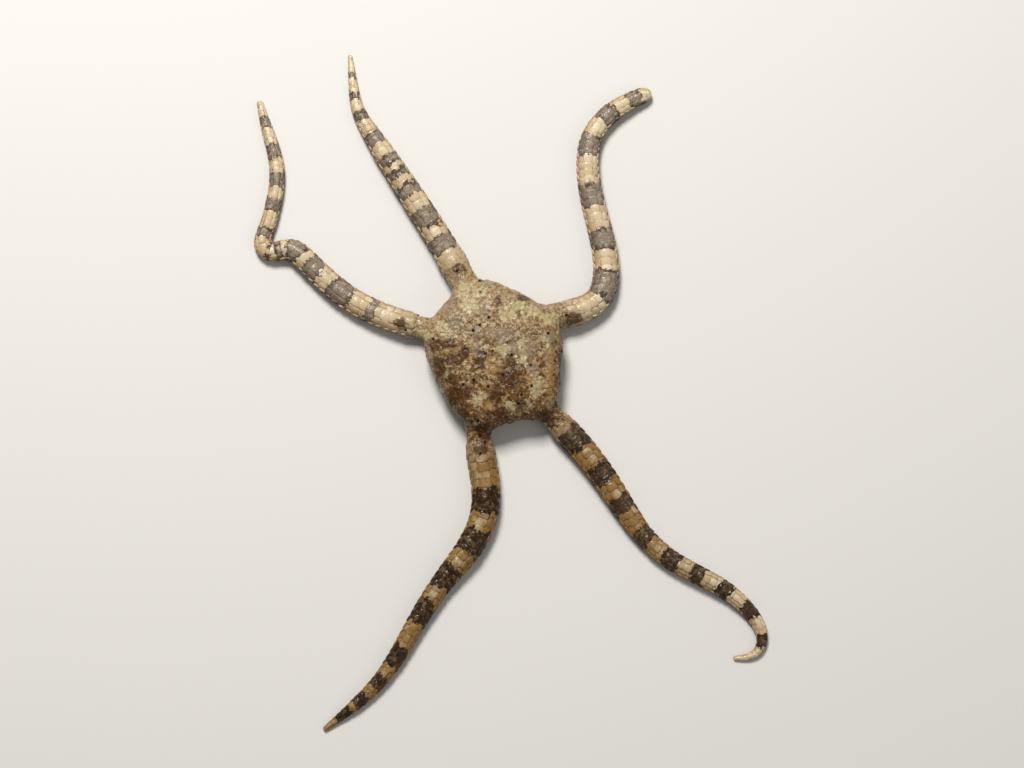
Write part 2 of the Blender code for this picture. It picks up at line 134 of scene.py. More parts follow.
board, tree, shader, place = new_material("matt_card_board")
grain = add_node(tree, "TexNoise", {}, {"Vector": place, "Scale": per_mm(FLOOR_PAPER_GRAIN)})
shader.inputs["Base Color"].default_value = linear(FLOOR_COLOUR)
shader.inputs["Roughness"].default_value = FLOOR_ROUGHNESS
tree.links.new(add_node(tree, "Bump", {}, {
    "Height": grain.outputs["Fac"], "Strength": FLOOR_GRAIN_STRENGTH,
    "Distance": FLOOR_GRAIN_DEPTH * MM,
}).outputs["Normal"], shader.inputs["Normal"])
floor_mesh = bpy.data.meshes.new("floor")
floor_mesh.from_pydata(
    [(x * FLOOR_HALF, y * FLOOR_HALF, 0) for x, y in ((-1, -1), (1, -1), (1, 1), (-1, 1))],
    [], [(0, 1, 2, 3)])
floor_mesh.materials.append(board)
floor = add_object("floor", floor_mesh)

for name, bearing, elevation, distance, size, power in (
        ("window_light", 108, 52, 0.19, 0.06, 0.47),
        ("fill_light", 330, 40, 0.30, 0.20, 0.13)):
    light_data = bpy.data.lights.new(name, "AREA")
    light_data.size = size
    light_data.energy = power
    light_data.color = linear(LIGHT_COLOUR)[:3]
    light = add_object(name, light_data)
    turn, rise = math.radians(bearing), math.radians(elevation)
    aim = Vector((math.cos(turn) * math.cos(rise), math.sin(turn) * math.cos(rise),
                  math.sin(rise)))
    light.location = aim * distance
    light.rotation_euler = aim.to_track_quat("Z", "Y").to_euler()
surround = bpy.data.worlds.new("surround")
surround.use_nodes = True
background = surround.node_tree.nodes["Background"].inputs
background["Color"].default_value = linear(SURROUND_COLOUR)
background["Strength"].default_value = SURROUND_STRENGTH
bpy.context.scene.world = surround
bpy.context.scene.view_settings.view_transform = "Standard"

# Shape of the disc and the arms
# The disc is a low five-sided cushion, and each arm a long tapering chain that leaves one of
# its corners. The sizes are those of the frame, in mm and degrees, and every piece is set by them.
DISC_CENTRE = np.array((-0.78, 1.78))
DISC_HEIGHT = 2.6
DISC_RIM = 1.15
DISC_BELLY = 0.12
DOME_SQUARENESS = 0.72
BELLY_STEEPNESS = 1.35
MOUTH_RADIUS = 2.05
MOUTH_DEPTH = 0.8
DISC_OUTLINE = (
    (4, 4.22), (20, 4.3), (45, 4.22), (58, 4.1), (78, 4.2), (88, 4.48), (104, 4.9),
    (122, 4.75), (132, 4.42), (150, 4.5), (170, 4.5), (184, 4.2), (196, 4.02),
    (210, 4.0), (232, 4.3), (250, 4.85), (266, 4.8), (278, 4.42), (292, 4.42), (304, 5.0),
    (320, 4.95), (333, 4.5), (347, 4.14),
)
Arm = namedtuple("Arm", "bearing reach turns widths")
ARMS = {
    "a": Arm(
        258.7, 4.97,
        ((0, -88), (1, -80), (2.5, -81), (4.1, -93), (5.3, -109), (6.6, -120), (8, -130),
         (10, -126), (12, -120), (14, -119), (16, -126), (18, -138), (20, -143), (21, -140)),
        ((0, 1.88), (4.5, 1.76), (7.2, 1.64), (9.5, 1.36), (15, 1.06), (18.5, 0.78),
         (21, 0.3))),
    "b": Arm(
        313.0, 5.14,
        ((0, -47), (2, -48), (4, -54), (6, -58), (8, -56), (10, -43), (12, -28), (14, -28),
         (16.4, -45), (17.6, -60), (18.6, -88), (19.4, -130), (20.2, -172), (21.0, -180)),
        ((0, 1.8), (5.8, 1.58), (9, 1.28), (14.5, 1.16), (17, 0.92), (18, 0.8), (21.0, 0.28))),
    "c": Arm(
        32.9, 4.47,
        ((0, 10), (1.3, 18), (2.4, 36), (3.2, 66), (4.4, 88), (5.8, 98), (7.1, 104),
         (8.4, 104), (9.6, 101), (10.8, 95), (12, 87), (13.3, 66), (14.6, 46), (15.9, 32),
         (18, 18)),
        ((0, 2.0), (2, 1.7), (9, 1.5), (13, 1.36), (16, 1.24), (18, 0.95))),
    "d": Arm(
        113.2, 5.27,
        ((0, 117), (2, 120), (4, 122), (8, 123), (10, 122), (11.4, 121), (12.4, 110),
         (13.4, 98), (16, 95)),
        ((0, 2.1), (2, 1.75), (6, 1.62), (9.2, 1.38), (11, 1.08), (13, 0.76), (14.6, 0.52),
         (16, 0.28))),
    "e": Arm(
        158.3, 4.57,
        ((0, 167), (2, 161), (4, 152), (6, 140), (8, 134), (9.3, 138), (10.1, 190),
         (10.7, 198), (11.8, 98), (12.4, 67), (13.6, 76), (14.9, 80), (16.1, 90),
         (17.5, 104), (18.8, 108), (21.2, 104)),
        ((0, 1.72), (9.0, 1.48), (11.0, 1.2), (12.4, 1.05), (16.5, 0.98), (19, 0.8),
         (21.2, 0.4))),
}
ROOT_RUN = 1.2
ROUTE_STEP = 0.05
SPINE_ROOM = 0.045
SIDE_LEVEL = 0.36
BACK_RISE = 0.42
SOLE_SQUARENESS = 0.8
TIP_RUN, TIP_LEAST = 0.5, 0.0004
FIELD_STEP = 0.01


def from_centre(points):
    """How far to the right of the disc's centre and beyond it points lie."""
    return points[..., 0] - DISC_CENTRE[0], points[..., 1] - DISC_CENTRE[1]


def disc_radius(bearing):
    """Radius of the disc's outline at bearings in degrees."""
    bearings, radii = zip(*DISC_OUTLINE)
    return np.interp(np.asarray(bearing) % 360, bearings, radii, period=360)


def arm_route(arm):
    """Middle line of an arm on the ground: distances, places and headings."""
    distances = np.arange(-ROOT_RUN, arm.turns[-1][0] + ROUTE_STEP / 2, ROUTE_STEP)
    headings = np.radians(np.interp(distances, *zip(*arm.turns)))
    middle = (headings[1:] + headings[:-1]) / 2
    x = np.concatenate(([0.0], np.cumsum(np.cos(middle)) * ROUTE_STEP))
    y = np.concatenate(([0.0], np.cumsum(np.sin(middle)) * ROUTE_STEP))
    root = math.radians(arm.bearing)
    x += DISC_CENTRE[0] + arm.reach * math.cos(root) - np.interp(0, distances, x)
    y += DISC_CENTRE[1] + arm.reach * math.sin(root) - np.interp(0, distances, y)
    return distances, x, y, headings


ROUTES = {key: arm_route(arm) for key, arm in ARMS.items()}


def arm_width(key, distance):
    """Width of an arm over its plates, without what its spines add."""
    full = np.interp(distance, *zip(*ARMS[key].widths))
    return full * (1 - 2 * SPINE_ROOM)


def all_round(sides):
    """Angles at even steps round a circle."""
    return np.arange(sides) / sides * 2 * math.pi


def bulge(wave, power):
    """A wave between -1 and 1 made squarer by a power below 1."""
    return np.sign(wave) * np.abs(wave) ** power


def section(turn):
    """Section of an arm one unit wide at angles from its right side over the back."""
    side, level = np.cos(turn), np.sin(turn)
    under = level < 0
    side = np.where(under, bulge(side, SOLE_SQUARENESS), side)
    level = np.where(under, SIDE_LEVEL * bulge(level, SOLE_SQUARENESS), BACK_RISE * level)
    return 0.5 * side, level


girth_turns = np.linspace(math.pi / 2, -math.pi / 2, 400)
girth_lengths = np.hypot(*[np.diff(values) for values in section(girth_turns)])
girth_lengths = np.concatenate(([0.0], np.cumsum(girth_lengths)))
HALF_GIRTH = girth_lengths[-1]


def arm_surface(key, distance, girth):
    """Points on the plates of an arm. Girth runs from -1 to 1, with 0 at the back's middle."""
    distance, girth = np.broadcast_arrays(distance, girth)
    along, x, y, heading = ROUTES[key]
    length = along[-1]
    inside = np.clip(distance, None, length)
    x, y, heading = (np.interp(inside, along, values) for values in (x, y, heading))
    width = arm_width(key, inside)
    end_width = arm_width(key, length)
    into_tip = np.clip((inside - length) / (TIP_RUN * end_width) + 1, 0, 1)
    rounding = np.sqrt(np.maximum(1 - into_tip ** 2, TIP_LEAST))
    girth = (girth + 1) % 2 - 1
    turn = np.interp(np.abs(girth) * HALF_GIRTH, girth_lengths, girth_turns)
    side, level = section(turn)
    across = side * np.sign(girth) * width * rounding
    height = width * (SIDE_LEVEL + level * rounding)
    return np.stack((x + np.sin(heading) * across, y - np.cos(heading) * across, height), -1)


def unit(vectors):
    """Vectors of the same directions and of length one."""
    return vectors / np.maximum(np.linalg.norm(vectors, axis=-1, keepdims=True), 1e-9)


def on_arm(key, distance, girth, lift):
    """Points at a lift above the plated surface of an arm."""
    place = arm_surface(key, distance, girth)
    along = arm_surface(key, distance + FIELD_STEP, girth) - arm_surface(
        key, distance - FIELD_STEP, girth)
    around = arm_surface(key, distance, girth + FIELD_STEP) - arm_surface(
        key, distance, girth - FIELD_STEP)
    return place + unit(np.cross(around, along)) * np.asarray(lift)[..., None]


# Marks
# Dark grey-brown bands cross the pale arms, one or two joints long with near-black edges. The disc
# is mottled olive tan with dark brown, grey-lilac, golden and pale places and small black dots, and
# is painted lighter towards the window light and darker away from it, as painted light.
# Bands are (distance, length) along each arm; disc places are (x, y, half width, half height).
BANDS = {
    "a": ((4.1, 1.5), (6.6, 1.5), (9.3, 1.5), (11.8, 1.5), (14.8, 1.4), (16.7, 0.9),
          (18.2, 0.9), (19.5, 0.9)),
    "b": ((1.85, 1.35), (4.5, 1.1), (6.8, 1.0), (9.0, 1.1), (11.2, 1.1), (13.0, 0.8),
          (14.8, 0.9), (16.8, 0.9), (18.8, 0.8)),
    "c": ((3.8, 1.8), (6.6, 1.2), (9.4, 1.4), (12.6, 1.4), (14.9, 1.1), (16.9, 0.8)),
    "d": ((2.3, 0.9), (4.2, 1.2), (6.3, 0.9), (7.5, 0.6), (8.5, 0.6), (10.2, 0.9),
          (11.9, 0.6), (13.3, 0.5), (14.6, 0.4)),
    "e": ((3.4, 0.7), (5.6, 1.5), (7.8, 1.1), (9.5, 1.1), (10.5, 0.4), (11.15, 0.2), (12.5, 0.7),
          (14.3, 0.9), (15.9, 1.0), (17.7, 1.0), (19.6, 0.8)),
}
PLACES = {"dark": (
    (-3.6, 0.6, 0.35, 0.3), (-2.8, 0.6, 0.5, 0.3), (-2.4, -0.4, 0.6, 0.4), (-1.85, 0.1, 0.3, 0.4),
    (-0.85, -0.4, 0.25, 0.6), (-3.3, -0.7, 0.35, 0.7), (-2.3, -2.2, 0.6, 0.4),
    (-2.5, -2.8, 0.4, 0.3), (-1.7, -2.4, 0.4, 0.35), (0.9, -1.5, 0.75, 0.6),
    (1.0, -0.8, 0.25, 0.5), (3.1, -3.8, 0.6, 0.45), (1.8, -4.2, 1.1, 0.2), (0.1, -2.5, 0.35, 0.5),
    # The first of the next dark places, a thin strip along the disc's right edge beyond its ridge,
    # is painted shade
    (3.95, -1.0, 0.12, 1.6), (1.7, 3.5, 0.4, 0.2), (0.2, 3.2, 0.25, 0.25), (1.6, -3.0, 0.3, 0.3),
    (-0.7, -4.6, 0.5, 0.4), (-0.8, -5.6, 0.4, 0.35), (4.7, 2.4, 0.5, 0.35), (-2.2, 5.4, 0.4, 0.3),
    (-5.7, 2.0, 0.35, 0.5), (-1.9, -3.5, 0.4, 0.5), (0.4, -3.6, 0.4, 0.4), (-2.6, -1.5, 0.3, 0.3),
), "grey": (
    (0.45, 1.15, 0.8, 0.45), (-0.6, 2.6, 0.35, 0.4), (-2.7, 3.0, 0.35, 0.45),
    (-2.4, 2.1, 0.4, 0.6), (-1.0, 0.4, 0.35, 0.4), (2.2, 0.5, 0.35, 0.6), (2.3, -0.9, 0.35, 0.4),
    (1.8, -3.1, 0.4, 0.35), (-1.1, 1.3, 0.5, 0.3), (1.1, 0.3, 0.25, 0.6), (3.4, 1.0, 0.3, 0.4),
), "gold": (
    (-0.1, -0.9, 0.55, 0.75), (3.3, -1.4, 0.3, 2.2), (2.1, -1.4, 0.35, 0.5),
    (-1.7, -0.5, 0.4, 0.3), (-0.3, -2.0, 0.4, 0.3), (-1.4, 0.6, 0.4, 0.25), (-2.7, 0.15, 0.6, 0.4),
    (-0.2, -3.1, 0.6, 0.3),
), "pale": (
    (-1.9, 4.0, 0.4, 0.5), (-1.4, 2.9, 0.6, 0.5), (-0.9, 3.8, 0.35, 0.35), (-4.3, 1.3, 0.5, 0.4),
    (-3.2, 1.7, 0.5, 0.35), (1.4, 3.0, 0.4, 0.3), (0.8, 2.4, 0.5, 0.35), (2.3, 2.6, 0.5, 0.3),
    (0.5, 0.25, 0.4, 0.35), (1.6, 0.2, 0.3, 0.9), (2.5, -1.9, 0.5, 0.6), (-1.0, -2.8, 0.35, 0.35),
    (3.3, 2.2, 0.5, 0.4), (0.9, -3.1, 0.4, 0.3), (3.2, 0.3, 0.15, 0.6), (3.3, -3.0, 0.2, 0.3),
)}
BLACK_DOTS = (
    (-0.9, 4.6), (-0.9, 3.8), (-0.35, 2.6), (-0.35, 2.2), (-0.9, 1.7), (-1.3, 1.4),
    (-3.7, 0.95), (-2.8, 0.85), (-0.55, 0.0), (1.0, -0.1), (3.2, 1.25), (4.05, 0.3),
    (2.15, -0.7), (0.5, -1.3), (2.2, -1.95), (-0.4, -2.0), (1.6, -2.5), (-1.9, -1.85),
    (-1.25, -1.6), (1.4, -3.0), (3.7, -2.9), (-0.4, -3.6), (-1.0, -4.0), (-0.9, -4.8),
    (-0.6, -5.2), (-0.9, -5.9), (5.0, 1.9), (4.3, 2.6), (-5.4, 1.7), (-2.3, 5.3),
)
DOT_RADIUS = 0.10
DOT_CORE = 0.6
DOT_LEVEL, DOT_FADE = 1.2, 5.0
MARKS_NEARER = 0.2
PLACE_FALL = 0.7
# Painted light on the disc: how far its lighter side turns to the left, and the mm over which it
# runs from dark to light
PAINTED_LIGHT_TURN = 0.15
PAINTED_LIGHT_RUN = 7.0
FAR = -9.0


def band_depth(key, distance):
    """How far inside the nearest dark band these distances lie, negative outside it."""
    inside = [length / 2 - np.abs(distance - middle) for middle, length in BANDS[key]]
    return np.max(inside, axis=0)


def place_share(places, x, y):
    """Strength of the nearest of some disc places at points measured from the disc's centre."""
    shares = [np.exp(-(((x - px) / rx) ** 2 + ((y - py) / ry) ** 2) * PLACE_FALL)
              for px, py, rx, ry in places]
    return np.max(shares, axis=0)


def on_the_top(height):
    """Share of a black dot left at a height on the disc: its rim has none."""
    return np.clip(DOT_FADE * (height - DOT_LEVEL), 0, 1)


def disc_marks(x, y):
    """The marks of the disc's back, and its painted light, at points measured from its centre."""
    y = y + MARKS_NEARER
    dots = [np.hypot(x - px, y - py) for px, py in BLACK_DOTS]
    marks = {field: place_share(places, x, y) for field, places in PLACES.items()}
    # Painted light: the disc is painted lighter towards the far left, where the window light
    # stands, and darker towards the near right
    marks["light"] = np.clip(0.5 + (y - PAINTED_LIGHT_TURN * x) / PAINTED_LIGHT_RUN, 0, 1)
    marks["dot"] = np.clip(1 + DOT_CORE - np.min(dots, axis=0) / DOT_RADIUS, 0, 1)
    return marks


# Skin
# One thin wet living skin clothes the whole animal, disc and arms, and shows as the dark seams
# between the plates. It is a little smaller than the plated surface that the plates rise to.
SKIN_DEPTH = 0.06
SKIN_DEPTH_SHARE = 0.07
DISC_SKIN_DEPTH = 0.12
MOUTH_LIP = 0.3
SKIN_CELL = 0.085
SKIN_SIDES = 28
SKIN_STEP = 0.1
DISC_SIDES = 96
DISC_RINGS = 48
SMOOTH_PASSES = 3
CORNER_PASSES = 50
CORNER_REACH = 1.3
CORNER_HALF_WIDTH = 1.9
CORNER_SHARE = 0.6
MARGIN = 0.1
RIDGE_X = 3.3
RIDGE_HALF_WIDTH = 0.2
RIDGE_FROM, RIDGE_TO = -3.1, 1.4
RIDGE_RISE = 0.2
SWELLS = ((0.9, 0.11), (0.42, 0.06))
SKIN_TONE = 0.35
ARM_SKIN_SEAM = 0.8
DISC_SKIN_SEAM = 0.82


def grid_faces(rows, columns, first=0):
    """Quads of a closed tube of points laid out row by row."""
    row, column = np.meshgrid(np.arange(rows - 1), np.arange(columns), indexing="ij")
    here = first + row * columns + column
    there = first + row * columns + (column + 1) % columns
    return np.stack((here, there, there + columns, here + columns), -1).reshape(-1, 4).tolist()


def arm_tube(key, first):
    """Closed tube of skin along an arm."""
    length = ROUTES[key][0][-1]
    stations = np.append(np.arange(-ROOT_RUN, length, SKIN_STEP), length)
    girths = np.arange(SKIN_SIDES) / SKIN_SIDES * 2 - 1
    depth = np.minimum(SKIN_DEPTH, SKIN_DEPTH_SHARE * arm_width(key, stations))[:, None]
    points = on_arm(key, stations[:, None], girths[None, :], -depth * np.ones(SKIN_SIDES))
    points[-1] = on_arm(key, stations[-2], girths, -0.5 * depth[-2]).mean(axis=0)
    faces = grid_faces(len(stations), SKIN_SIDES, first)
    faces.append(list(range(first + SKIN_SIDES - 1, first - 1, -1)))
    return points.reshape(-1, 3), faces


def disc_shell(first):
    """Closed cushion of skin with the mouth's recess in its underside."""
    rise = np.radians(np.linspace(90, -90, DISC_RINGS))[:, None]
    bearing = (np.arange(DISC_SIDES) / DISC_SIDES * 360)[None, :]
    outline = disc_radius(bearing) - DISC_SKIN_DEPTH
    radius = outline * np.cos(rise).clip(0) ** DOME_SQUARENESS
    up = np.abs(np.sin(rise))
    top = DISC_RIM + (DISC_HEIGHT - DISC_SKIN_DEPTH - DISC_RIM) * up ** DOME_SQUARENESS
    belly = DISC_BELLY + SKIN_DEPTH
    under = DISC_RIM - (DISC_RIM - belly) * np.minimum(1, BELLY_STEEPNESS * up)
    height = np.where(rise >= 0, top, under) * np.ones_like(radius)
    inward = np.clip((MOUTH_RADIUS - radius) / MOUTH_LIP, 0, 1)
    height = np.where(rise < 0, height + MOUTH_DEPTH * inward ** 2 * (3 - 2 * inward), height)
    x = radius * np.cos(np.radians(bearing))
    y = radius * np.sin(np.radians(bearing))
    ridge = np.exp(-((x - RIDGE_X) / RIDGE_HALF_WIDTH) ** 2)
    ridge *= np.clip((y - RIDGE_FROM) * 2, 0, 1) * np.clip((RIDGE_TO - y) * 2, 0, 1)
    swells = [sum(rise * noise.noise(Vector((px, py, size)) / size) for size, rise in SWELLS)
              for px, py in zip(x.flat, y.flat)]
    swell = np.array(swells).reshape(x.shape) * up ** 0.5
    height = np.where(rise > 0, height + RIDGE_RISE * ridge + swell, height)
    points = np.stack((x + DISC_CENTRE[0], y + DISC_CENTRE[1], height), -1)
    return points.reshape(-1, 3), grid_faces(DISC_RINGS, DISC_SIDES, first)


def relax(points, faces, share, passes):
    """Move points towards the middle of their neighbours, each by its own share."""
    faces = np.array(faces)
    pairs = np.concatenate((faces[:, :2], faces[:, 1:], faces[:, ::2]))
    pairs = np.concatenate((pairs, pairs[:, ::-1]))
    counts = np.bincount(pairs[:, 0], minlength=len(points))[:, None]
    for _ in range(passes):
        sums = [np.bincount(pairs[:, 0], points[pairs[:, 1], axis], len(points))
                for axis in range(3)]
        points = points + share[:, None] * (np.stack(sums, -1) / counts - points)
    return points


def add_piece(name, points, faces, marks, material):
    """New mesh object from points in mm, with its marks kept as named attributes."""
    mesh = bpy.data.meshes.new(name)
    mesh.from_pydata((np.asarray(points) * MM).tolist(), [], faces)
    for mark, values in marks.items():
        field = mesh.attributes.new(mark, "FLOAT", "POINT")
        field.data.foreach_set("value", np.asarray(values, np.float32).ravel())
    mesh.materials.append(material)
    mesh.shade_smooth()
    return add_object(name, mesh)


points, faces = disc_shell(0)
for key in ARMS:
    tube_points, tube_faces = arm_tube(key, len(points))
    points = np.concatenate((points, tube_points))
    faces += tube_faces
rough_mesh = bpy.data.meshes.new("rough_skin")
rough_mesh.from_pydata(points.tolist(), [], faces)
rough = add_object("rough_skin", rough_mesh)
remesh = rough.modifiers.new("remesh", "REMESH")
remesh.mode = "VOXEL"
remesh.voxel_size = SKIN_CELL
smooth = rough.modifiers.new("smooth", "SMOOTH")
smooth.iterations = SMOOTH_PASSES
bm = bmesh.new()
bm.from_object(rough, bpy.context.evaluated_depsgraph_get())
bmesh.ops.triangulate(bm, faces=bm.faces[:])
bm.verts.ensure_lookup_table()
skin_points = np.array([vert.co[:] for vert in bm.verts])
skin_faces = [[vert.index for vert in face.verts] for face in bm.faces]
bm.free()
bpy.data.objects.remove(rough)
bpy.data.meshes.remove(rough_mesh)

route_spots = [(key, *spot) for key, route in ROUTES.items() for spot in zip(*route)]


def search_tree(points):
    """Tree that finds the nearest of some points."""
    found = KDTree(len(points))
    for index, point in enumerate(points):
        found.insert(point, index)
    found.balance()
    return found


route_tree = search_tree([(x, y, 0) for _, _, x, y, _ in route_spots])
ARM_KEYS, ARM_DISTANCES = (np.array([spot[part] for spot in route_spots]) for part in (0, 1))


def nearest_arm(points):
    """The arm nearest to each point, the distance along it and the gap to its middle line."""
    _, places, gaps = zip(*[route_tree.find((x, y, 0)) for x, y, _ in points])
    return ARM_KEYS[list(places)], ARM_DISTANCES[list(places)], np.array(gaps)


def beyond_disc(points):
    """How far outside the disc's outline these points lie."""
    x, y = from_centre(points)
    return np.hypot(x, y) - disc_radius(np.degrees(np.arctan2(y, x)))


skin_arm, skin_distance, skin_gap = nearest_arm(skin_points)
corner = np.clip(CORNER_REACH - np.abs(beyond_disc(skin_points) - MARGIN), 0, 1)
corner *= np.clip(CORNER_HALF_WIDTH - skin_gap, 0, 1)
skin_points = relax(skin_points, skin_faces, CORNER_SHARE * corner, CORNER_PASSES)
skin_points[:, 2] = np.maximum(skin_points[:, 2], 0.0)

# How golden each arm is near the disc and at its tip, how dark its bands are, and the distances
# between which an arm turns golden, stays so and changes to its tip. On arms a and b the gold and
# the dark bands are partly their own colour and partly painted shade and painted reddish bounce
# light
WARMTH_AND_SHADE = {"a": (1.0, 1.0, 1.0), "b": (1.0, 0.1, 0.9), "c": (0.1, 0.0, 0.0),
          "d": (0.2, 0.0, 0.12), "e": (0.2, 0.1, 0.05)}
WARM_ALONG = (0.3, 1.8, 9, 16)
ARM_COLOUR_FROM = 0.2
ARM_COLOUR_RUN = 2.3
LOW_SHARE, LOW_RUN = 1.15, 0.9
BACK_EDGE = 0.85
BACK_FADE = 2.4


def lowness(height):
    """How low on the animal's side a height is: 0 on its back and 1 near the ground."""
    return np.clip(LOW_SHARE - height / LOW_RUN, 0, 1)


def marks_of(points, arm, distance, down):
    """All the marks of points: of the disc within its outline and of their arm outside it."""
    marks = disc_marks(*from_centre(points))
    on_back = np.clip(BACK_FADE * (BACK_EDGE - down), 0, 1)
    for field in ("dark", "grey", "gold", "dot"):
        marks[field] = marks[field] * on_back
    marks["dot"] = marks["dot"] * np.where(distance > 0, 1.0, on_the_top(points[..., 2]))
    marks["arm"] = np.clip((distance - ARM_COLOUR_FROM) / ARM_COLOUR_RUN, 0, 1)
    marks["band"] = np.full(distance.shape, FAR)
    marks["warm_and_shade"], marks["deep"] = np.zeros((2, *distance.shape))
    for key in ARMS:
        here = (arm == key) & (distance > 0)
        marks["band"][here] = band_depth(key, distance[here])
        near, tip, deep = WARMTH_AND_SHADE[key]
        marks["warm_and_shade"][here] = np.interp(distance[here], WARM_ALONG, (0, near, near, tip))
        marks["deep"][here] = deep
    # Golden, darker flanks low on the arms' sides: partly their own colour, partly painted shade
    marks["flank"] = down * marks["arm"]
    return marks


# Wet limy plate
# The plates are calcite, as in chalk or sea shell, under a film of sea water. The ground is pale
# olive cream that turns golden low on the sides, partly its own colour and partly painted shade.
# Wetness gives small sharp glints on dull stone.
LIMY_IN_WATER = 1.2
WATER_IOR = 1.33
# Weight and roughness of the film, and the height in mm of its ripples
FILM = (0.6, 0.1)
FILM_RELIEF = 0.01
DULLNESS = (0.38, 0.6)
# Sizes in mm of the patterns in its colour
PATTERNS = {"cloud": 0.8, "patch": 0.42, "light_fleck": 0.27, "fleck": 0.19, "grit": 0.09}
CREAM = "#bea988"
CREAM_HIGH = "#d4c7ad"
# Laid on most on arms a and b: partly their own golden brown, partly painted shade and painted
# reddish bounce light
WARM_CREAM = "#7d5f31"
# Olive tan and dark brown lie between the animal's own olive brown and a redder brown: partly
# painted reddish bounce light
OLIVE_TAN = "#65441a"
OLIVE_PALE_AND_LIT = "#968160"
PALE_FLECK = "#b5a67f"
DARK_FLECK = "#3a2006"
GOLDEN = "#8f6a36"
BAND_GREY = "#83776a"
BAND_LIGHT = "#a99b86"
# Dark bands of arms a and b: partly their own dark brown, partly painted shade and painted reddish
# bounce light
WARM_BAND = "#2c1804"
WARM_BAND_LIGHT = "#6e5935"
EDGE_BROWN = "#43352a"
EDGE_BLACK = "#1c1109"
# Partly the animal's own dark brown, partly painted reddish bounce light
DARK_BROWN = "#3e2508"
GREY_LILAC = "#86755f"
GOLD_TAN = "#8f7348"
PALE_GREEN = "#ada17c"
DOT_BLACK = "#160a02"
SEAM_BROWN = "#2d2010"
# Each kind of place on the disc: the value at which it is full, its strength and its colour
PLACE_PAINT = {"pale": (1.7, 0.75, PALE_GREEN), "gold": (1.7, 0.8, GOLD_TAN),
               "grey": (1.65, 0.85, GREY_LILAC), "dark": (1.72, 0.85, DARK_BROWN)}
PLACE_FROM = 1.4
BAND_FROM, BAND_LINE, BAND_FULL = 0.42, 0.48, 0.65
SOFT = {"interpolation_type": "SMOOTHSTEP"}
EVEN = {"interpolation_type": "LINEAR"}


def wet(shader, ior, film, roughness):
    """Give a shader its own IOR and a film of sea water over it."""
    for name, value in (("IOR", ior), ("Coat Weight", film), ("Coat Roughness", roughness),
                        ("Coat IOR", WATER_IOR)):
        shader.inputs[name].default_value = value


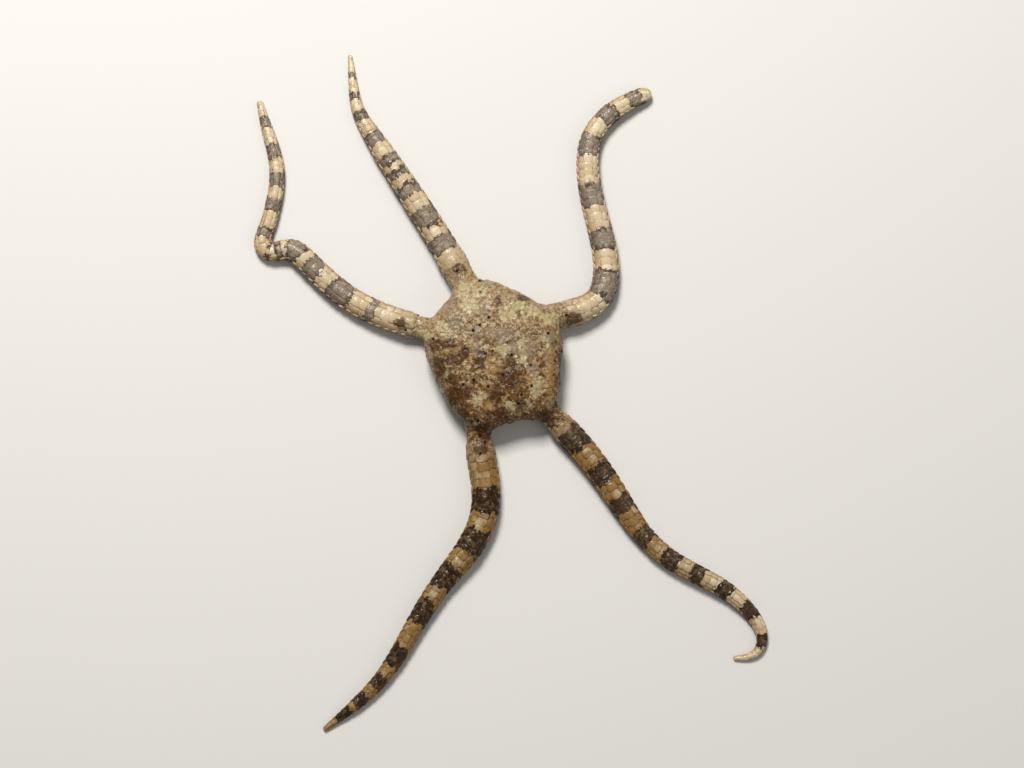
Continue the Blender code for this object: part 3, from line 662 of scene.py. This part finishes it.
def wet_limy_material(name, seam, bump, mottle):
    """Calcite with the animal's marks and painted light and shade, darker in its seams, under a
    film of water.
    """
    material, tree, shader, place = new_material(name)
    mark = {field: add_node(tree, "Attribute", {"attribute_name": field}, {}).outputs["Fac"]
            for field in ("tone", "rim", "arm", "band", "flank", "warm_and_shade", "deep", "light", "dot",
                          *PLACES)}
    for pattern, size in PATTERNS.items():
        mark[pattern] = add_node(tree, "TexNoise", {}, {
            "Vector": place, "Scale": per_mm(size), "Detail": 3.0}).outputs["Fac"]

    def weigh(total, **shares):
        """A value with marks and patterns added to it, each times its share."""
        for field, share in shares.items():
            total = add_node(tree, "Math", {"operation": "MULTIPLY_ADD"}, (
                mark[field], share, total)).outputs[0]
        return total

    def paint(under, over, pattern, low=0.0, high=1.0, most=1.0, fade=SOFT):
        """Lay a colour over another where a pattern rises from one value to another."""
        share = add_node(tree, "MapRange", fade, (pattern, low, high, 0.0, most)).outputs[0]
        under, over = (linear(colour) if isinstance(colour, str) else colour
                       for colour in (under, over))
        return add_node(tree, "Mix", {"data_type": "RGBA"}, {
            0: share, 6: under, 7: over}).outputs[2]

    # The olive tan turns paler in random tones and patches, and towards the window light as painted
    # light
    tan = paint(OLIVE_TAN, OLIVE_PALE_AND_LIT, weigh(0.0, tone=0.2, light=0.45, patch=1.0), 0.55, 1.05)
    # Low on the arms' sides the cream turns golden and the bands darker, partly their own colour
    # and partly painted shade
    low = add_node(tree, "MapRange", SOFT, (
        weigh(mark["flank"], patch=0.5), 0.5, 1.15)).outputs[0]
    warm_and_shade = add_node(tree, "MapRange", SOFT, (
        weigh(low, tone=-0.3, patch=-1.0), -1.0, -0.5, 0.5, 1.0)).outputs[0]
    cream = paint(CREAM, CREAM_HIGH, mark["tone"], fade=EVEN)
    cream = paint(cream, WARM_CREAM, warm_and_shade, most=mark["warm_and_shade"], fade=EVEN)
    cream = paint(cream, GOLDEN, low, most=0.7, fade=EVEN)
    ground = paint(tan, cream, mark["arm"], fade=EVEN)
    for field, (full, most, colour) in PLACE_PAINT.items():
        ragged = weigh(mark[field], patch=1.3, fleck=0.9)
        ground = paint(ground, colour, ragged, PLACE_FROM, full, most)
    calm = mark["grey"]
    for operation, field in (("MAXIMUM", "gold"), ("MAXIMUM", "pale"), ("SUBTRACT", "dark"),
                             ("MAXIMUM", "arm")):
        calm = add_node(tree, "Math", {"operation": operation}, (calm, mark[field])).outputs[0]
    busy = add_node(tree, "MapRange", SOFT, (calm, 0.2, 0.8, mottle, 0.3 * mottle)).outputs[0]
    # Dark flecks grow fewer in dark places and where the painted light is strong
    paler, darker = (add_node(tree, "Math", {"operation": "MULTIPLY"}, (busy, add_node(
        tree, "MapRange", SOFT, (mark[field], *span)).outputs[0])).outputs[0]
        for field, span in (("dark", (0.2, 0.8, 0.7, 0.2)), ("light", (0.4, 1.0, 1.0, 0.6))))
    ground = paint(ground, PALE_FLECK, mark["light_fleck"], 0.5, 0.66, paler)
    ground = paint(ground, DARK_FLECK, mark["fleck"], 0.49, 0.36, darker)
    ground = paint(ground, DARK_FLECK, mark["grit"], 0.45, 0.34, darker)
    # Bands turn darker and browner with deep, most on arms a and b: partly their own colour, partly
    # painted shade
    inner, lighter, edge = (paint(grey, brown, mark["deep"], fade=EVEN) for grey, brown in (
        (BAND_GREY, WARM_BAND), (BAND_LIGHT, WARM_BAND_LIGHT), (EDGE_BROWN, EDGE_BLACK)))
    inner = paint(inner, lighter, mark["light_fleck"], 0.48, 0.62, 0.6)
    inner = paint(inner, edge, mark["grit"], 0.48, 0.36, 0.5)
    inner = paint(inner, DARK_BROWN, low, most=0.6, fade=EVEN)
    band = weigh(mark["band"], patch=0.5, fleck=0.4)
    inner = paint(edge, inner, band, BAND_LINE, BAND_FULL)
    ground = paint(ground, inner, band, BAND_FROM, BAND_LINE)
    ground = paint(ground, DOT_BLACK, mark["dot"], 0.35, 0.75)
    ground = paint(ground, SEAM_BROWN, mark["rim"], 0.75, 1.0, seam)
    tree.links.new(ground, shader.inputs["Base Color"])
    tree.links.new(add_node(tree, "MapRange", SOFT, (
        mark["cloud"], 0.3, 0.7, *DULLNESS)).outputs[0], shader.inputs["Roughness"])
    height = weigh(mark["patch"], fleck=0.6, grit=0.3)
    relief = add_node(tree, "Bump", {}, {
        "Height": height, "Strength": 1.0, "Distance": bump * MM}).outputs["Normal"]
    film = add_node(tree, "Bump", {}, {
        "Height": mark["grit"], "Strength": 1.0, "Distance": FILM_RELIEF * MM,
        "Normal": relief}).outputs["Normal"]
    tree.links.new(relief, shader.inputs["Normal"])
    tree.links.new(film, shader.inputs["Coat Normal"])
    wet(shader, LIMY_IN_WATER, *FILM)
    return material


wet_skin = wet_limy_material("wet_living_skin", seam=0.5, bump=0.02, mottle=0.6)
marks = marks_of(skin_points, skin_arm, skin_distance, lowness(skin_points[:, 2]))
marks["tone"] = np.full(len(skin_points), SKIN_TONE)
marks["rim"] = np.where(beyond_disc(skin_points) > 0, ARM_SKIN_SEAM, DISC_SKIN_SEAM)
skin = add_piece("skin", skin_points, skin_faces, marks, wet_skin)
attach(skin, "root")
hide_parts(*[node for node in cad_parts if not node.startswith("jaw")])
skin_tree = BVHTree.FromPolygons(skin_points.tolist(), skin_faces)

# Scales of the disc
# Some fifteen hundred small limy plates pave the disc above and below, and the base of each arm.
# They are flat or swollen, sunk in the skin at their edges and fitted together like paving.
SCALE_SEED = 23
SCALE_DRAWS = 36000
SCALE_RADII = (0.21, 0.15, 0.10)
SCALE_KEEP = (0.04, 0.25, 1.0)
SCALE_SPACING = 0.92
SCALE_SIDES = 12
SCALE_RINGS = (0.5, 0.82, 0.97, 1.0)
SCALE_FILL = 1.08
SCALE_MOST_REACH = 2.2
SCALE_LEAST_REACH = 0.3
SCALE_CREST = (0.015, 0.045)
SCALE_SWOLLEN = 0.2
SWOLLEN_RISE = 1.6
SWOLLEN_POWER, FLAT_POWER = 2.6, 9.0
SCALE_EDGE_RISE = 0.3
SCALE_SUNK = 0.03
SCALE_TILT, TILT_POWER = 0.08, 8
SCALE_ROUND = 0.15
CREST_LEAST = 0.7
SCALE_NEIGHBOURS = 16
UPPER_FROM = 0.8
OWN_COLOUR, COLOUR_SHIFT = 0.3, 0.08
UNDER_PALE = 0.7
TONE_SPREAD = (1.6, 1.6)
ON_ARM_BASE = 1.1
ORAL_BEARINGS = np.radians(283 + 72 * np.arange(5))
ORAL_DISTANCE = 2.75
ORAL_RADIUS = 0.55
ROUGHNESS_SIZE = 0.24
ROUGHNESS_DEPTH = 0.055
BAKE_PATCH = 0.0015
MAP_REACH, MAP_MOST = 0.18, 1.35


def disc_unwrap(points, upper):
    """Place on a flat map of the disc: its back on the left half, its underside on the right."""
    x, y = from_centre(points)
    turn = np.arctan2(y, x)
    reach = MAP_REACH * np.minimum(np.hypot(x, y) / disc_radius(np.degrees(turn)), MAP_MOST)
    middle = np.where(upper, 0.25, 0.75)
    return np.stack((middle + reach * np.cos(turn), 0.5 + 2 * reach * np.sin(turn)), -1)


def add_bake_map(piece, roots, offsets):
    """Give each plate a small patch of its own at its root's place on the unwrap."""
    layer = piece.data.uv_layers.new(name="OFBake")
    corners = np.empty(len(piece.data.loops), np.int32)
    piece.data.loops.foreach_get("vertex_index", corners)
    places = (roots[:, None] + offsets * BAKE_PATCH).reshape(-1, 2)
    layer.data.foreach_set("uv", places[corners].astype(np.float32).ravel())


def cap_layout(rings, sides, squareness=1.0):
    """How far out the points of a cap lie, and their places along and across it."""
    shares = np.concatenate(([0.0], np.repeat(rings, sides), [1.0]))
    waves = (bulge(wave(all_round(sides)), squareness) for wave in (np.cos, np.sin))
    spread = [np.concatenate(([0.0], np.tile(wave, len(rings)), [0.0])) for wave in waves]
    return shares, (shares * spread).T


def cap_faces(sides, rings, count, turned=False):
    """Triangles of closed caps or pegs: an end point, rings of points and another end point."""
    per_cap = 2 + sides * rings
    faces = []
    for here in range(1, 1 + sides):
        there = here % sides + 1
        faces.append((0, here, there))
        for _ in range(rings - 1):
            faces.append((here, here + sides, there + sides))
            faces.append((here, there + sides, there))
            here, there = here + sides, there + sides
        faces.append((here, per_cap - 1, there))
    faces = np.array(faces)[:, ::-1 if turned else 1]
    return (faces + np.arange(count)[:, None, None] * per_cap).reshape(-1, 3).tolist()


draw = np.random.default_rng(SCALE_SEED)
corners = skin_points[np.array(skin_faces)]
edges = corners[:, 1:] - corners[:, :1]
areas = np.linalg.norm(np.cross(edges[:, 0], edges[:, 1]), axis=1) / 2
centres = corners.mean(axis=1)
face_distance = skin_distance[np.array(skin_faces)[:, 0]]
outside = beyond_disc(centres)
from_middle = np.hypot(*from_centre(centres))
on_the_disc = (outside < MARGIN) | ((face_distance < ON_ARM_BASE) & (outside < 2.0))
mouth = (centres[:, 2] < DISC_RIM) & (from_middle < MOUTH_RADIUS + 0.1)
shields = DISC_CENTRE + ORAL_DISTANCE * np.stack((np.cos(ORAL_BEARINGS), np.sin(ORAL_BEARINGS)), -1)
to_shields = np.linalg.norm(centres[:, None, :2] - shields[None], axis=2).min(axis=1)
shielded = (centres[:, 2] < DISC_RIM) & (to_shields < ORAL_RADIUS + 0.05)
areas = np.where(on_the_disc & ~mouth & ~shielded, areas, 0)
picks = draw.choice(len(areas), SCALE_DRAWS, p=areas / areas.sum())
weights = draw.dirichlet((1, 1, 1), SCALE_DRAWS)
spots = (corners[picks] * weights[:, :, None]).sum(axis=1)
scale_spots = spots[:1]
scale_sizes = np.array(SCALE_RADII[:1])
for size, keep in zip(SCALE_RADII, SCALE_KEEP):
    for spot in spots[:int(SCALE_DRAWS * keep)]:
        gap = np.linalg.norm(scale_spots - spot, axis=1)
        if np.all(gap > SCALE_SPACING * (size + scale_sizes)):
            scale_spots = np.vstack((scale_spots, spot))
            scale_sizes = np.append(scale_sizes, size)
count = len(scale_spots)

scale_tree = search_tree(scale_spots)
shares, spread = cap_layout(SCALE_RINGS, SCALE_SIDES)
scale_points = np.empty((count, len(shares), 3))
angles = all_round(SCALE_SIDES)
for index, (spot, size) in enumerate(zip(scale_spots, scale_sizes)):
    spot = Vector(spot)
    _, normal, _, _ = skin_tree.find_nearest(spot)
    swollen = draw.random() < SCALE_SWOLLEN
    crest = draw.uniform(*SCALE_CREST) * (CREST_LEAST + size) * (SWOLLEN_RISE if swollen else 1)
    power = SWOLLEN_POWER if swollen else FLAT_POWER
    first = normal.orthogonal().normalized()
    second = normal.cross(first)
    lean = draw.normal(0, SCALE_TILT, 2)
    reach = np.full(SCALE_SIDES, size * SCALE_MOST_REACH)
    for other, other_index, gap in scale_tree.find_n(spot, SCALE_NEIGHBOURS):
        if other_index == index:
            continue
        toward = other - spot
        towards = math.atan2(toward.dot(second), toward.dot(first))
        share = (gap ** 2 + size ** 2 - scale_sizes[other_index] ** 2) / (2 * gap)
        facing = np.cos(angles - towards)
        reach = np.minimum(reach, np.where(facing > 0.1, share / np.maximum(facing, 0.1), 9.0))
    reach = np.maximum(reach * SCALE_FILL, SCALE_LEAST_REACH * size)
    reach = (1 - 2 * SCALE_ROUND) * reach + SCALE_ROUND * (np.roll(reach, 1) + np.roll(reach, -1))
    for row, (share, way) in enumerate(zip(shares[:-1], spread)):
        a, b = way * reach[(row - 1) % SCALE_SIDES]
        near, near_normal, _, _ = skin_tree.find_nearest(spot + first * a + second * b)
        lift = -SCALE_SUNK
        if share < 1:
            lift = crest * (SCALE_EDGE_RISE + (1 - SCALE_EDGE_RISE) * (1 - share ** power))
            lift += (lean[0] * a + lean[1] * b) * (1 - share ** TILT_POWER)
            lift += ROUGHNESS_DEPTH * noise.noise(near / ROUGHNESS_SIZE)
        scale_points[index, row] = near + (near_normal + normal).normalized() * lift
    scale_points[index, -1] = spot - normal * SCALE_SUNK
scale_points[..., 2] = np.maximum(scale_points[..., 2], 0.01)
upper = scale_spots[:, 2] > UPPER_FROM
scale_arm, scale_distance, _ = nearest_arm(scale_spots)
inside = beyond_disc(scale_spots) < 0
scale_distance = np.where(inside, -1.0, scale_distance)
moved = scale_spots + draw.normal(0, COLOUR_SHIFT, scale_spots.shape)
root_marks = marks_of(moved, scale_arm, scale_distance, lowness(scale_spots[:, 2]))
near_marks = disc_marks(*from_centre(scale_points))
near_marks["dot"] *= np.where(inside[:, None], on_the_top(scale_points[..., 2]), 1.0)
marks = {field: values[:, None] * np.ones(len(shares)) for field, values in root_marks.items()}
for field, values in near_marks.items():
    own = 0.0 if field == "dot" else OWN_COLOUR
    marks[field] = (own * marks[field] + (1 - own) * values) * upper[:, None]
marks["pale"] = np.where(upper[:, None], marks["pale"], UNDER_PALE)
marks["tone"] = draw.beta(*TONE_SPREAD, (count, 1)) * np.ones(len(shares))
marks["rim"] = np.tile(shares, (count, 1))
wet_scale = wet_limy_material("wet_calcite_scale", seam=0.07, bump=0.05, mottle=0.9)
disc_scales = add_piece(
    "disc_scales", scale_points.reshape(-1, 3),
    cap_faces(SCALE_SIDES, len(SCALE_RINGS), count), marks, wet_scale)
add_bake_map(disc_scales, disc_unwrap(scale_spots, upper), spread)
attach(disc_scales, "root")

# Plates of the arms
# Each arm joint carries a ring of ten limy plates: one along the back, one on each shoulder, two
# on each side, and three under the sole. Their outer edges stand up over the next joint's.
PLATE_SEED = 31
PLATE_SIDES = 14
PLATE_RINGS = (0.4, 0.7, 0.88, 0.97, 1.0)
PLATE_START = 0.7
PLATE_PITCH = (0.26, 0.17)
PLATE_SQUARENESS = 0.55
PLATE_DIP, DIP_SPREAD = 0.028, (0.6, 1.4)
FULL_RELIEF_WIDTH = 1.2
PLATE_TILT = 0.02
PLATE_SUNK = 0.09
PLATE_ROUGH = 0.02
SIDE_LAG, LAG_RUN = 0.42, 0.6
# Middle of each plate and its half width as shares of half the girth, and its length in pitches
PLATE_PLACES = (
    (0.0, 0.165, 1.0), (0.3, 0.125, 0.95), (-0.3, 0.125, 0.95), (0.515, 0.085, 0.9),
    (-0.515, 0.085, 0.9), (0.67, 0.075, 0.88), (-0.67, 0.075, 0.88), (0.82, 0.068, 0.8),
    (-0.82, 0.068, 0.8), (1.0, 0.115, 0.96),
)
PLATE_VARIATION = 0.08
PLATE_OVERLAP = 0.6
PLATE_SPREAD = 1.05
PLATE_SHIFT = 0.025
PLATE_SLIP = 0.008
LEAST_LAST_JOINT = 0.12
MAP_LENGTH, MAP_EDGE = 23.0, 0.02
BAND_CURVE, BAND_SHIFT = 0.25, 0.07
SOLE_FROM = 0.72
SOLE_BAND_LESS = 0.25
SOLE_GOLD = 0.45
FLANK_RISE = 1.7
# How far the golden, darker flank colours are turned round each arm towards its shaded side, as
# shares of half the girth: painted shade
PAINTED_SHADE_TURN = {"a": -0.04, "b": 0.12, "c": -0.1, "d": -0.06, "e": -0.08}

wet_arm_plate = wet_limy_material("wet_calcite_arm_plate", seam=0.07, bump=0.02, mottle=0.5)
shares, spread = cap_layout(PLATE_RINGS, PLATE_SIDES, PLATE_SQUARENESS)
along, across = spread.T


def arm_joints(key):
    """Distances of the arm's joints from where it leaves the disc to its tip."""
    joints = [PLATE_START]
    along, _, _, heading = ROUTES[key]
    bend = np.abs(np.gradient(heading, along))
    while joints[-1] < along[-1] - LEAST_LAST_JOINT:
        width = arm_width(key, joints[-1])
        pitch = PLATE_PITCH[0] + PLATE_PITCH[1] * width
        stretch = np.interp(joints[-1] + pitch / 2, along, bend) * width / 2
        joints.append(joints[-1] + pitch / (1 + stretch))
    return np.array(joints)


def side_share(girth):
    """How far down the side a girth lies: 0 on the back, 1 at the sole."""
    return np.abs((np.asarray(girth) + 1) % 2 - 1)


def arm_unwrap(distance, girth):
    """Place on a flat map of an arm: distance across, girth up."""
    across = (np.asarray(distance) + 1) / MAP_LENGTH
    return MAP_EDGE + (1 - 2 * MAP_EDGE) * np.stack((across, (np.asarray(girth) + 1) % 2 / 2), -1)


for number, key in enumerate(ARMS):
    draw = np.random.default_rng(PLATE_SEED + number)
    joints = arm_joints(key)
    rows = []
    for near, far in zip(joints, joints[1:]):
        pitch = far - near
        width = arm_width(key, near)
        for girth, half, length in PLATE_PLACES:
            lag = SIDE_LAG * pitch * min(1.0, side_share(girth) / LAG_RUN)
            size = PLATE_OVERLAP * pitch * length, PLATE_SPREAD * half * HALF_GIRTH * width
            rows.append(((near + far) / 2 - lag + draw.normal(0, PLATE_SHIFT),
                         girth + draw.normal(0, PLATE_SLIP),
                         *(np.array(size) * (1 + draw.normal(0, PLATE_VARIATION, 2)))))
    middles, girths, *halves = np.array(rows).T
    count = len(middles)
    dip = draw.uniform(*DIP_SPREAD, count)[:, None] * PLATE_DIP
    width = arm_width(key, middles)
    thin = np.minimum(1, width / FULL_RELIEF_WIDTH)[:, None]
    lifts = (-dip * shares ** 3 + PLATE_TILT * along) * thin
    distance = middles[:, None] + along * halves[0][:, None]
    girth = girths[:, None] + across * (halves[1] / (HALF_GIRTH * width))[:, None]
    rough = [noise.noise(Vector(spot) / ROUGHNESS_SIZE)
             for spot in arm_surface(key, distance, girth).reshape(-1, 3)]
    lifts += PLATE_ROUGH * np.array(rough).reshape(lifts.shape)
    lifts[:, -PLATE_SIDES - 1:] = -PLATE_SUNK * thin
    points = on_arm(key, distance, girth, lifts)
    points[..., 2] = np.maximum(points[..., 2], 0.0)
    root = middles + draw.normal(0, BAND_SHIFT, count)
    # Painted shade: the flank colours are turned round towards each arm's shaded side
    shade_turn = np.where(side_share(girth) < 0.75, PAINTED_SHADE_TURN[key], 0)
    down = np.clip(side_share(girth + shade_turn) * FLANK_RISE, 0, 1)
    marks = marks_of(points, np.full(distance.shape, key), distance, down)
    marks["flank"] = marks["flank"] * np.interp(side_share(girth), (0.7, 0.95), (1, SOLE_GOLD))
    curved = band_depth(key, root + BAND_CURVE * side_share(girths))
    marks["band"] = (curved[:, None] + marks["band"]) / 2
    marks["band"] -= np.where(side_share(girths)[:, None] > SOLE_FROM, SOLE_BAND_LESS, 0)
    marks["tone"] = draw.beta(*TONE_SPREAD, (count, 1)) * np.ones(len(shares))
    marks["rim"] = np.tile(shares, (count, 1))
    plates = add_piece(
        f"arm_plates_{key}", points.reshape(-1, 3),
        cap_faces(PLATE_SIDES, len(PLATE_RINGS), count), marks, wet_arm_plate)
    add_bake_map(plates, arm_unwrap(middles, girths), spread)
    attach(plates, "root")

# Spines of the arms
# Three short blunt spines stand at the outer edge of each side plate and lie back along the arm,
# their tips a little clear of it. They are calcite too, cream or brown as the band they grow in.
SPINE_SEED = 47
SPINE_GIRTHS = (0.40, 0.53, 0.66)
SPINE_LENGTH = 0.85
SPINE_RADIUS = 0.068
PEG_SIDES = 6
# How far along a peg its rings lie and how wide they are, as shares of its length and radius
PEG_SHAPE = np.array(((0.0, 0.8), (0.25, 1.0), (0.6, 0.82), (0.88, 0.5), (0.98, 0.22)))
FULL_SPINE_WIDTH = 1.3
SPINE_LEAN, LEAN_SPREAD = 0.11, (0.4, 1.5)
SPINE_SHIFT, SPINE_SLIP, SPINE_VARIATION = 0.03, 0.012, 0.12
SPINELESS_TIP = 0.4
SPINE_TIP_RISE = 0.2
SPINE_CLEARANCE = 0.6
SPINE_FOOT = 0.45
SPINE_ROOT_DEPTH = 0.03
SPINE_BAND_LESS = 0.12
SPINE_TONES = (0.1, 0.6)
NEARLY_UP = (0.0, 0.02, 1.0)

wet_spine = wet_limy_material("wet_calcite_spine", seam=0.2, bump=0.01, mottle=0.15)


def peg_points(feet, ways, lengths, radii):
    """Points of tapered blunt pegs from their feet, and how far along its peg each lies."""
    ways = unit(ways)
    first = unit(np.cross(ways, NEARLY_UP))
    second = np.cross(first, ways)
    shares = np.concatenate(([0.0], np.repeat(PEG_SHAPE[:, 0], PEG_SIDES), [1.0]))
    _, spread = cap_layout(PEG_SHAPE[:, 1], PEG_SIDES)
    spread = radii[:, None, None] * spread
    points = feet[:, None] + (lengths[:, None] * shares)[..., None] * ways[:, None]
    points += spread[..., :1] * first[:, None] + spread[..., 1:] * second[:, None]
    points[..., 2] = np.maximum(points[..., 2], 0.0)
    return points, np.tile(shares, (len(feet), 1))


for number, key in enumerate(ARMS):
    draw = np.random.default_rng(SPINE_SEED + number)
    joints = arm_joints(key)
    joints = joints[joints < joints[-1] - SPINELESS_TIP]
    rows = []
    for near, far in zip(joints, joints[1:]):
        for girth in SPINE_GIRTHS:
            for side in (-1, 1):
                rows.append((far - SPINE_FOOT * (far - near) + draw.normal(0, SPINE_SHIFT),
                             side * (girth + draw.normal(0, SPINE_SLIP)),
                             (far - near) * SPINE_LENGTH * (1 + draw.normal(0, SPINE_VARIATION))))
    feet, girths, lengths = np.array(rows).T
    lean = SPINE_LEAN * draw.uniform(*LEAN_SPREAD, len(feet))
    foot = on_arm(key, feet, girths, np.full(len(feet), -SPINE_ROOT_DEPTH))
    room = SPINE_CLEARANCE * SPINE_ROOM * arm_width(key, feet + lengths)
    tip = on_arm(key, feet + lengths, girths, np.minimum(lean * lengths, room))
    radii = SPINE_RADIUS * np.minimum(1, arm_width(key, feet) / FULL_SPINE_WIDTH)
    points, shares = peg_points(foot, tip - foot, lengths, radii)
    points = np.clip(points, *(np.array(CAD_BOX) / MM))
    distance = feet[:, None] * np.ones(shares.shape)
    down = np.clip(side_share(girths)[:, None] * FLANK_RISE - SPINE_TIP_RISE * shares, 0, 1)
    marks = marks_of(points, np.full(shares.shape, key), distance, down)
    marks["band"] -= SPINE_BAND_LESS
    marks["tone"] = draw.uniform(*SPINE_TONES, (len(feet), 1)) * np.ones(shares.shape)
    marks["rim"] = 1 - shares
    spines = add_piece(
        f"arm_spines_{key}", points.reshape(-1, 3),
        cap_faces(PEG_SIDES, len(PEG_SHAPE), len(feet), turned=True), marks, wet_spine)
    add_bake_map(spines, arm_unwrap(feet, girths), np.stack((2 * shares - 1, 0 * shares), -1))
    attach(spines, "root")

# Jaws and mouth shields
# Five cream limy jaws point to the middle of the mouth, each with blunt teeth at its tip and a
# row of small papillae along either edge. A smooth shield lies flat outside each jaw. Jaws and
# shields are painted darker towards their edges and up their sides, and teeth and papillae at
# their roots: painted shade.
JAW_INNER = 0.5
JAW_OUTER = 1.75
JAW_SLIT = 0.2
JAW_TOP = 0.75
JAW_BOTTOM = 0.13
JAW_SIDES = 24
JAW_SQUARENESS = (0.8, 0.55)
JAW_RINGS = ((0.45, 0.0), (0.75, 0.04), (0.92, 0.11), (1.0, 0.24), (1.0, 0.6))
SHIELD_SIDES = 20
SHIELD_RINGS = ((0.5, 0.0), (0.84, 0.0), (0.94, 0.03), (1.0, 0.1), (1.0, 0.3))
SHIELD_TOP = 0.35
SHIELD_SQUARENESS = 0.12
TOOTH_HEIGHTS = (0.2, 0.36, 0.52)
TOOTH_LENGTH = 0.3
TOOTH_RADIUS = 0.09
PAPILLA_DISTANCES = (0.62, 0.84, 1.06, 1.28, 1.5)
PAPILLA_INSET = 0.14
PAPILLA_HEIGHT = 0.29
PAPILLA_LEAN = 0.35
PAPILLA_LENGTH = 0.26
PAPILLA_RADIUS = 0.075
JAW_TIP_HALF = 0.12
JAW_CREAM = "#bba87f"
JAW_SHADE = "#7c6038"
CALCITE_IOR = 1.5
JAW_FILM = (0.4, 0.12)
# Rise above which jaws and shields are fully painted with shade
SHADE_RISE = 0.2
JAW_DULLNESS = (0.3, 0.55)
JAW_STAIN, JAW_PORES = 0.4, 0.08
JAW_PORE_DEPTH = 0.03

wet_jaw, tree, shader, place = new_material("wet_calcite_jaw")
stain, pores = (add_node(tree, "TexNoise", {}, {
    "Vector": place, "Scale": per_mm(size), "Detail": 3.0}).outputs["Fac"]
    for size in (JAW_STAIN, JAW_PORES))
rim = add_node(tree, "Attribute", {"attribute_name": "rim"}, {}).outputs["Fac"]
# Painted shade towards edges, sides and roots, made ragged by the stain pattern
ragged = add_node(tree, "Math", {"operation": "ADD"}, (rim, stain)).outputs[0]
share = add_node(tree, "MapRange", EVEN, (ragged, 0.45, 1.5)).outputs[0]
tree.links.new(add_node(tree, "Mix", {"data_type": "RGBA"}, {
    0: share, 6: linear(JAW_CREAM), 7: linear(JAW_SHADE)}).outputs[2], shader.inputs["Base Color"])
tree.links.new(add_node(tree, "MapRange", EVEN, (stain, 0.0, 1.0, *JAW_DULLNESS)).outputs[0],
               shader.inputs["Roughness"])
tree.links.new(add_node(tree, "Bump", {}, {
    "Height": pores, "Strength": 1.0, "Distance": JAW_PORE_DEPTH * MM}).outputs["Normal"],
    shader.inputs["Normal"])
wet(shader, CALCITE_IOR, *JAW_FILM)


def hanging_cap(outline, rings, bottom, top):
    """Closed cap that hangs down from an outline, rounded or flat below, as points and rims:
    painted shade growing to its edge and full up its sides.
    """
    middle = outline.mean(axis=0)
    shares, rises = (np.repeat(values, len(outline))[:, None] for values in zip(*rings))
    flat = middle + (np.tile(outline, (len(rings), 1)) - middle) * shares
    points = np.vstack(((*middle, bottom), np.hstack((flat, bottom + rises)), (*middle, top)))
    return points, np.concatenate(([0.0], np.where(rises < SHADE_RISE, shares, 1.0).ravel(), [1.0]))


jaw_caps, shield_caps, pegs = [], [], []
for bearing in ORAL_BEARINGS:
    out = np.array((math.cos(bearing), math.sin(bearing)))
    left = np.array((-out[1], out[0]))
    widest = JAW_OUTER * math.tan(math.radians(36)) - JAW_SLIT
    turns = all_round(JAW_SIDES)
    reach = (JAW_INNER + JAW_OUTER) / 2 + (JAW_OUTER - JAW_INNER) / 2 * bulge(
        np.cos(turns), JAW_SQUARENESS[0])
    half = np.interp(reach, (JAW_INNER, JAW_OUTER), (JAW_TIP_HALF, widest))
    sideways = half * bulge(np.sin(turns), JAW_SQUARENESS[1])
    outline = DISC_CENTRE + reach[:, None] * out + sideways[:, None] * left
    jaw_caps.append(hanging_cap(outline, JAW_RINGS, JAW_BOTTOM, JAW_TOP))
    turns = all_round(SHIELD_SIDES)
    size = ORAL_RADIUS * (1 + SHIELD_SQUARENESS * np.cos(3 * turns))
    outline = DISC_CENTRE + ORAL_DISTANCE * out + (
        (size * np.cos(turns))[:, None] * out - (size * np.sin(turns))[:, None] * left)[::-1]
    shield_caps.append(hanging_cap(outline, SHIELD_RINGS, 0.0, SHIELD_TOP))
    for height in TOOTH_HEIGHTS:
        foot = DISC_CENTRE + (JAW_INNER + JAW_TIP_HALF) * out
        pegs.append(((*foot, height), (*-out, 0.0), TOOTH_LENGTH, TOOTH_RADIUS))
    for distance in PAPILLA_DISTANCES:
        edge = np.interp(distance, (JAW_INNER, JAW_OUTER), (JAW_TIP_HALF, widest))
        for side in (-1, 1):
            foot = DISC_CENTRE + distance * out + side * (edge - PAPILLA_INSET) * left
            way = (*(side * left - PAPILLA_LEAN * out), -PAPILLA_LEAN)
            pegs.append(((*foot, PAPILLA_HEIGHT), way, PAPILLA_LENGTH, PAPILLA_RADIUS))
jaw_points, jaw_rims = (np.concatenate(parts) for parts in zip(*jaw_caps))
shield_points, shield_rims = (np.concatenate(parts) for parts in zip(*shield_caps))
pegs, peg_shares = peg_points(*(np.array(values) for values in zip(*pegs)))
points = np.concatenate((jaw_points, pegs.reshape(-1, 3)))
faces = cap_faces(JAW_SIDES, len(JAW_RINGS), len(jaw_caps), turned=True)
peg_faces = cap_faces(PEG_SIDES, len(PEG_SHAPE), len(pegs), turned=True)
faces += (np.array(peg_faces) + len(jaw_points)).tolist()
rims = np.append(jaw_rims, 1 - peg_shares)
jaws = add_piece("jaws", points, faces, {"rim": rims}, wet_jaw)
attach(jaws, "root")
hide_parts(*[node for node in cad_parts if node.startswith("jaw")])
faces = cap_faces(SHIELD_SIDES, len(SHIELD_RINGS), len(shield_caps), turned=True)
mouth_shields = add_piece("mouth_shields", shield_points, faces, {"rim": shield_rims}, wet_jaw)
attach(mouth_shields, "root")
